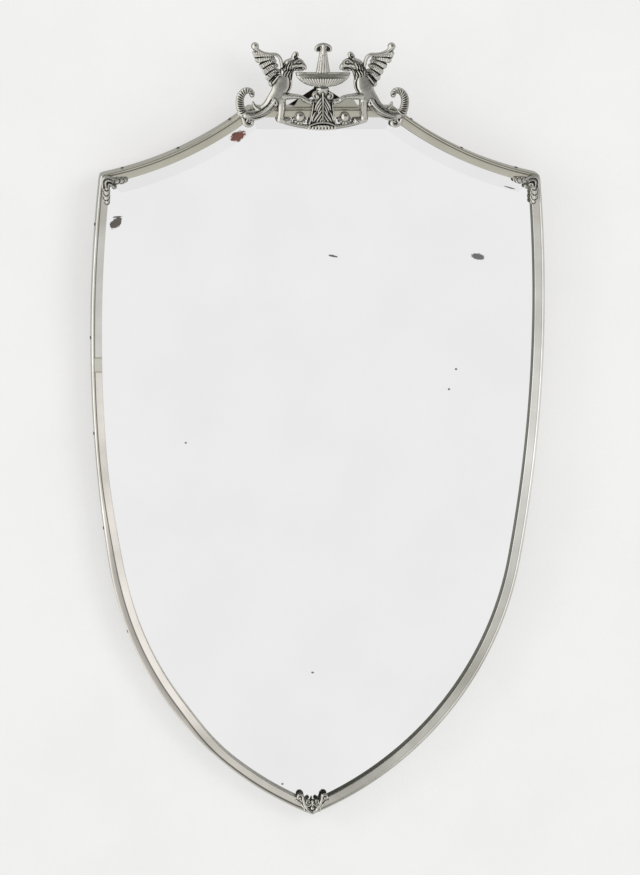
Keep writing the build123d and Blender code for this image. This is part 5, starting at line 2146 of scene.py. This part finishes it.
@dataclass(frozen=True)
class Softbox:
    """A soft square lamp: its name, place, side in metres, power in watts and colour."""

    name: str
    place: tuple[float, float, float]
    side: float
    power: float
    colour: str


@dataclass
class Studio:
    """Pale wall and floor, soft light and the camera at the photograph's angle."""

    azimuth: float = -6.5
    elevation: float = 10.8
    roll: float = 0.83
    distance: float = 6.0
    frame_height: float = 0.970
    target: tuple[float, float, float] = (0.0027, -0.027, -0.3864)
    aim: tuple[float, float, float] = (0.0, 0.0, -0.35)
    softboxes: tuple[Softbox, ...] = (
        Softbox("key_softbox", (1.7, -3.6, 1.1), 1.8, 62.0, "#FFFEFB"),
        Softbox("side_softbox", (-2.6, -2.0, 0.6), 1.0, 22.0, "#FFFFFF"),
    )
    # the room that the metal reflects: its tones, and where on its axis each part begins and is full
    sky: str = "#F5F5F5"
    room: str = "#686968"
    window: tuple[float, float, float, float] = (1.80, 1.80, 1.77, 1.0)
    behind: str = "#C6C7C4"
    dim_above: Point = (-0.02, 0.42)
    dim_ahead: Point = (0.2, -0.5)
    window_from: Point = (-0.40, -0.55)
    behind_from: Point = (0.15, 0.5)
    fill: float = 0.72
    # y and z of the wall's slope at the mirror's foot and at the nail
    wall_foot: Point = (0.004, -0.817)
    wall_nail: Point = (0.034, 0.0)
    wall_glow: str = "#F4F4F4"
    wall_glow_strength: float = 0.64
    floor_z: float = -1.75

    def camera(self) -> Thing:
        """Places the camera and makes it the scene's.

        Returns:
            The camera.
        """
        data = bpy.data.cameras.new("camera")
        data.sensor_width = 36.0
        data.lens = 36.0 * self.distance / self.frame_height
        data.clip_end = 60.0
        made = bpy.data.objects.new("camera", data)
        bpy.context.scene.collection.objects.link(made)
        a, e = math.radians(self.azimuth), math.radians(self.elevation)
        away = Vector((math.sin(a) * math.cos(e), -math.cos(a) * math.cos(e), math.sin(e)))
        made.location = Vector(self.target) + away * self.distance
        aim = (-away).to_track_quat("-Z", "Y").to_matrix().to_4x4()
        made.rotation_euler = (aim @ Matrix.Rotation(math.radians(self.roll), 4, "Z")).to_euler()
        bpy.context.scene.camera = made
        return made

    def lamp(self, box: Softbox) -> None:
        """Hangs a softbox that faces the middle of the mirror.

        Args:
            box: the softbox.
        """
        data = bpy.data.lights.new(box.name, "AREA")
        data.size = box.side
        data.energy = box.power
        data.color = linear(box.colour)[:3]
        made = bpy.data.objects.new(box.name, data)
        bpy.context.scene.collection.objects.link(made)
        made.location = box.place
        made.visible_glossy = False
        made.rotation_euler = (Vector(self.aim) - Vector(box.place)).to_track_quat("-Z", "Y").to_euler()

    def world(self) -> None:
        """Fills the world: pale for the camera, a room for the reflections, plain for the light."""
        world = bpy.data.worlds.new("pale_room")
        bpy.context.scene.world = world
        world.use_nodes = True
        tree = world.node_tree
        tree.nodes.clear()
        way = add_node(tree, "ShaderNodeTexCoord").outputs["Generated"]
        split = add_node(tree, "ShaderNodeSeparateXYZ", {0: way})
        zones = []
        for axis, (first, full) in (
            ("Z", self.dim_above), ("Y", self.dim_ahead), ("X", self.window_from), ("Y", self.behind_from)
        ):
            zone = add_node(
                tree,
                "ShaderNodeMapRange",
                {0: split.outputs[axis], "From Min": first, "From Max": full},
                clamp=True,
            )
            zones.append(zone.outputs[0])
        above, ahead, pane, back = zones
        dim = add_node(tree, "ShaderNodeMath", {0: above, 1: ahead}, operation="MULTIPLY").outputs[0]
        # the dimmer upper front, a window on the left, and the wall behind that the outer edges reflect
        toned: Any = linear(self.sky)
        for share, tone in ((dim, linear(self.room)), (pane, self.window), (back, linear(self.behind))):
            mixed = add_node(tree, "ShaderNodeMix", {"Factor": share, 6: toned, 7: tone}, data_type="RGBA")
            toned = mixed.outputs[2]
        path = add_node(tree, "ShaderNodeLightPath")
        seen = add_node(tree, "ShaderNodeBackground", {"Color": linear(self.sky), "Strength": 1.0})
        mirrored = add_node(tree, "ShaderNodeBackground", {"Color": toned, "Strength": 1.0})
        fill = add_node(tree, "ShaderNodeBackground", {"Color": linear("#FFFFFF"), "Strength": self.fill})
        glossy = add_node(
            tree,
            "ShaderNodeMixShader",
            {0: path.outputs["Is Glossy Ray"], 1: fill.outputs[0], 2: mirrored.outputs[0]},
        )
        last = add_node(
            tree,
            "ShaderNodeMixShader",
            {0: path.outputs["Is Camera Ray"], 1: glossy.outputs[0], 2: seen.outputs[0]},
        )
        add_node(tree, "ShaderNodeOutputWorld", {"Surface": last.outputs[0]})

    def wall(self) -> Thing:
        """Stands the wall behind the mirror, clear of it at the top, and see-through from behind.

        Returns:
            The wall.
        """
        (foot_y, foot_z), (nail_y, nail_z) = self.wall_foot, self.wall_nail
        slope = (nail_y - foot_y) / (nail_z - foot_z)
        rows = [(x, foot_y + slope * (z - foot_z), z) for z in (self.floor_z, 1.6) for x in (-2.4, 2.4)]
        made = make_object("wall_backdrop", np.array(rows) / MM, [(0, 1, 3, 2)])
        for flag in ("visible_diffuse", "visible_glossy", "visible_transmission", "visible_shadow"):
            setattr(made, flag, False)
        PLASTER.dress(made)
        tree = PLASTER.material().node_tree
        shader = next(n for n in tree.nodes if n.type == "BSDF_PRINCIPLED")
        output = next(n for n in tree.nodes if n.type == "OUTPUT_MATERIAL")
        # part of the wall's tone is its own light, so the mirror's shadow stays as soft as in a bright room
        shader.inputs["Emission Color"].default_value = linear(self.wall_glow)
        shader.inputs["Emission Strength"].default_value = self.wall_glow_strength
        side = add_node(tree, "ShaderNodeNewGeometry")
        clear = add_node(tree, "ShaderNodeBsdfTransparent")
        mix = add_node(
            tree,
            "ShaderNodeMixShader",
            {0: side.outputs["Backfacing"], 1: shader.outputs[0], 2: clear.outputs[0]},
        )
        tree.links.new(mix.outputs[0], output.inputs["Surface"])
        return made

    def floor(self) -> Thing:
        """Lays the pale floor.

        Returns:
            The floor.
        """
        rows = [(x, y, self.floor_z) for y in (-7.0, 2.0) for x in (-5.0, 5.0)]
        made = make_object("floor", np.array(rows) / MM, [(0, 1, 3, 2)])
        FLOORING.dress(made)
        made.visible_glossy = False
        return made

    def build(self) -> list[Thing]:
        """Sets up the studio.

        Returns:
            The wall, the floor and the camera.
        """
        self.world()
        for box in self.softboxes:
            self.lamp(box)
        bpy.context.scene.view_settings.view_transform = "Standard"
        return [self.wall(), self.floor(), self.camera()]


def main() -> None:
    """Builds the mirror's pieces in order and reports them."""
    logging.basicConfig(level=logging.INFO, format="%(name)s %(message)s")
    nodes = frame["nodes"]
    made: list[Thing] = []
    for maker in (StripFrame(), Griffin(), Fountain(), FoliageMounts()):
        made += maker.build()
    for maker in (MirrorPlate(), BackAndLoop()):
        made += maker.build(nodes)
    made += Studio().build()
    for thing in made:
        detail = f"{len(thing.data.polygons)} faces" if thing.type == "MESH" else thing.type.lower()
        LOG.info("%s: %s", thing.name, detail)


if __name__ == "__main__":
    main()
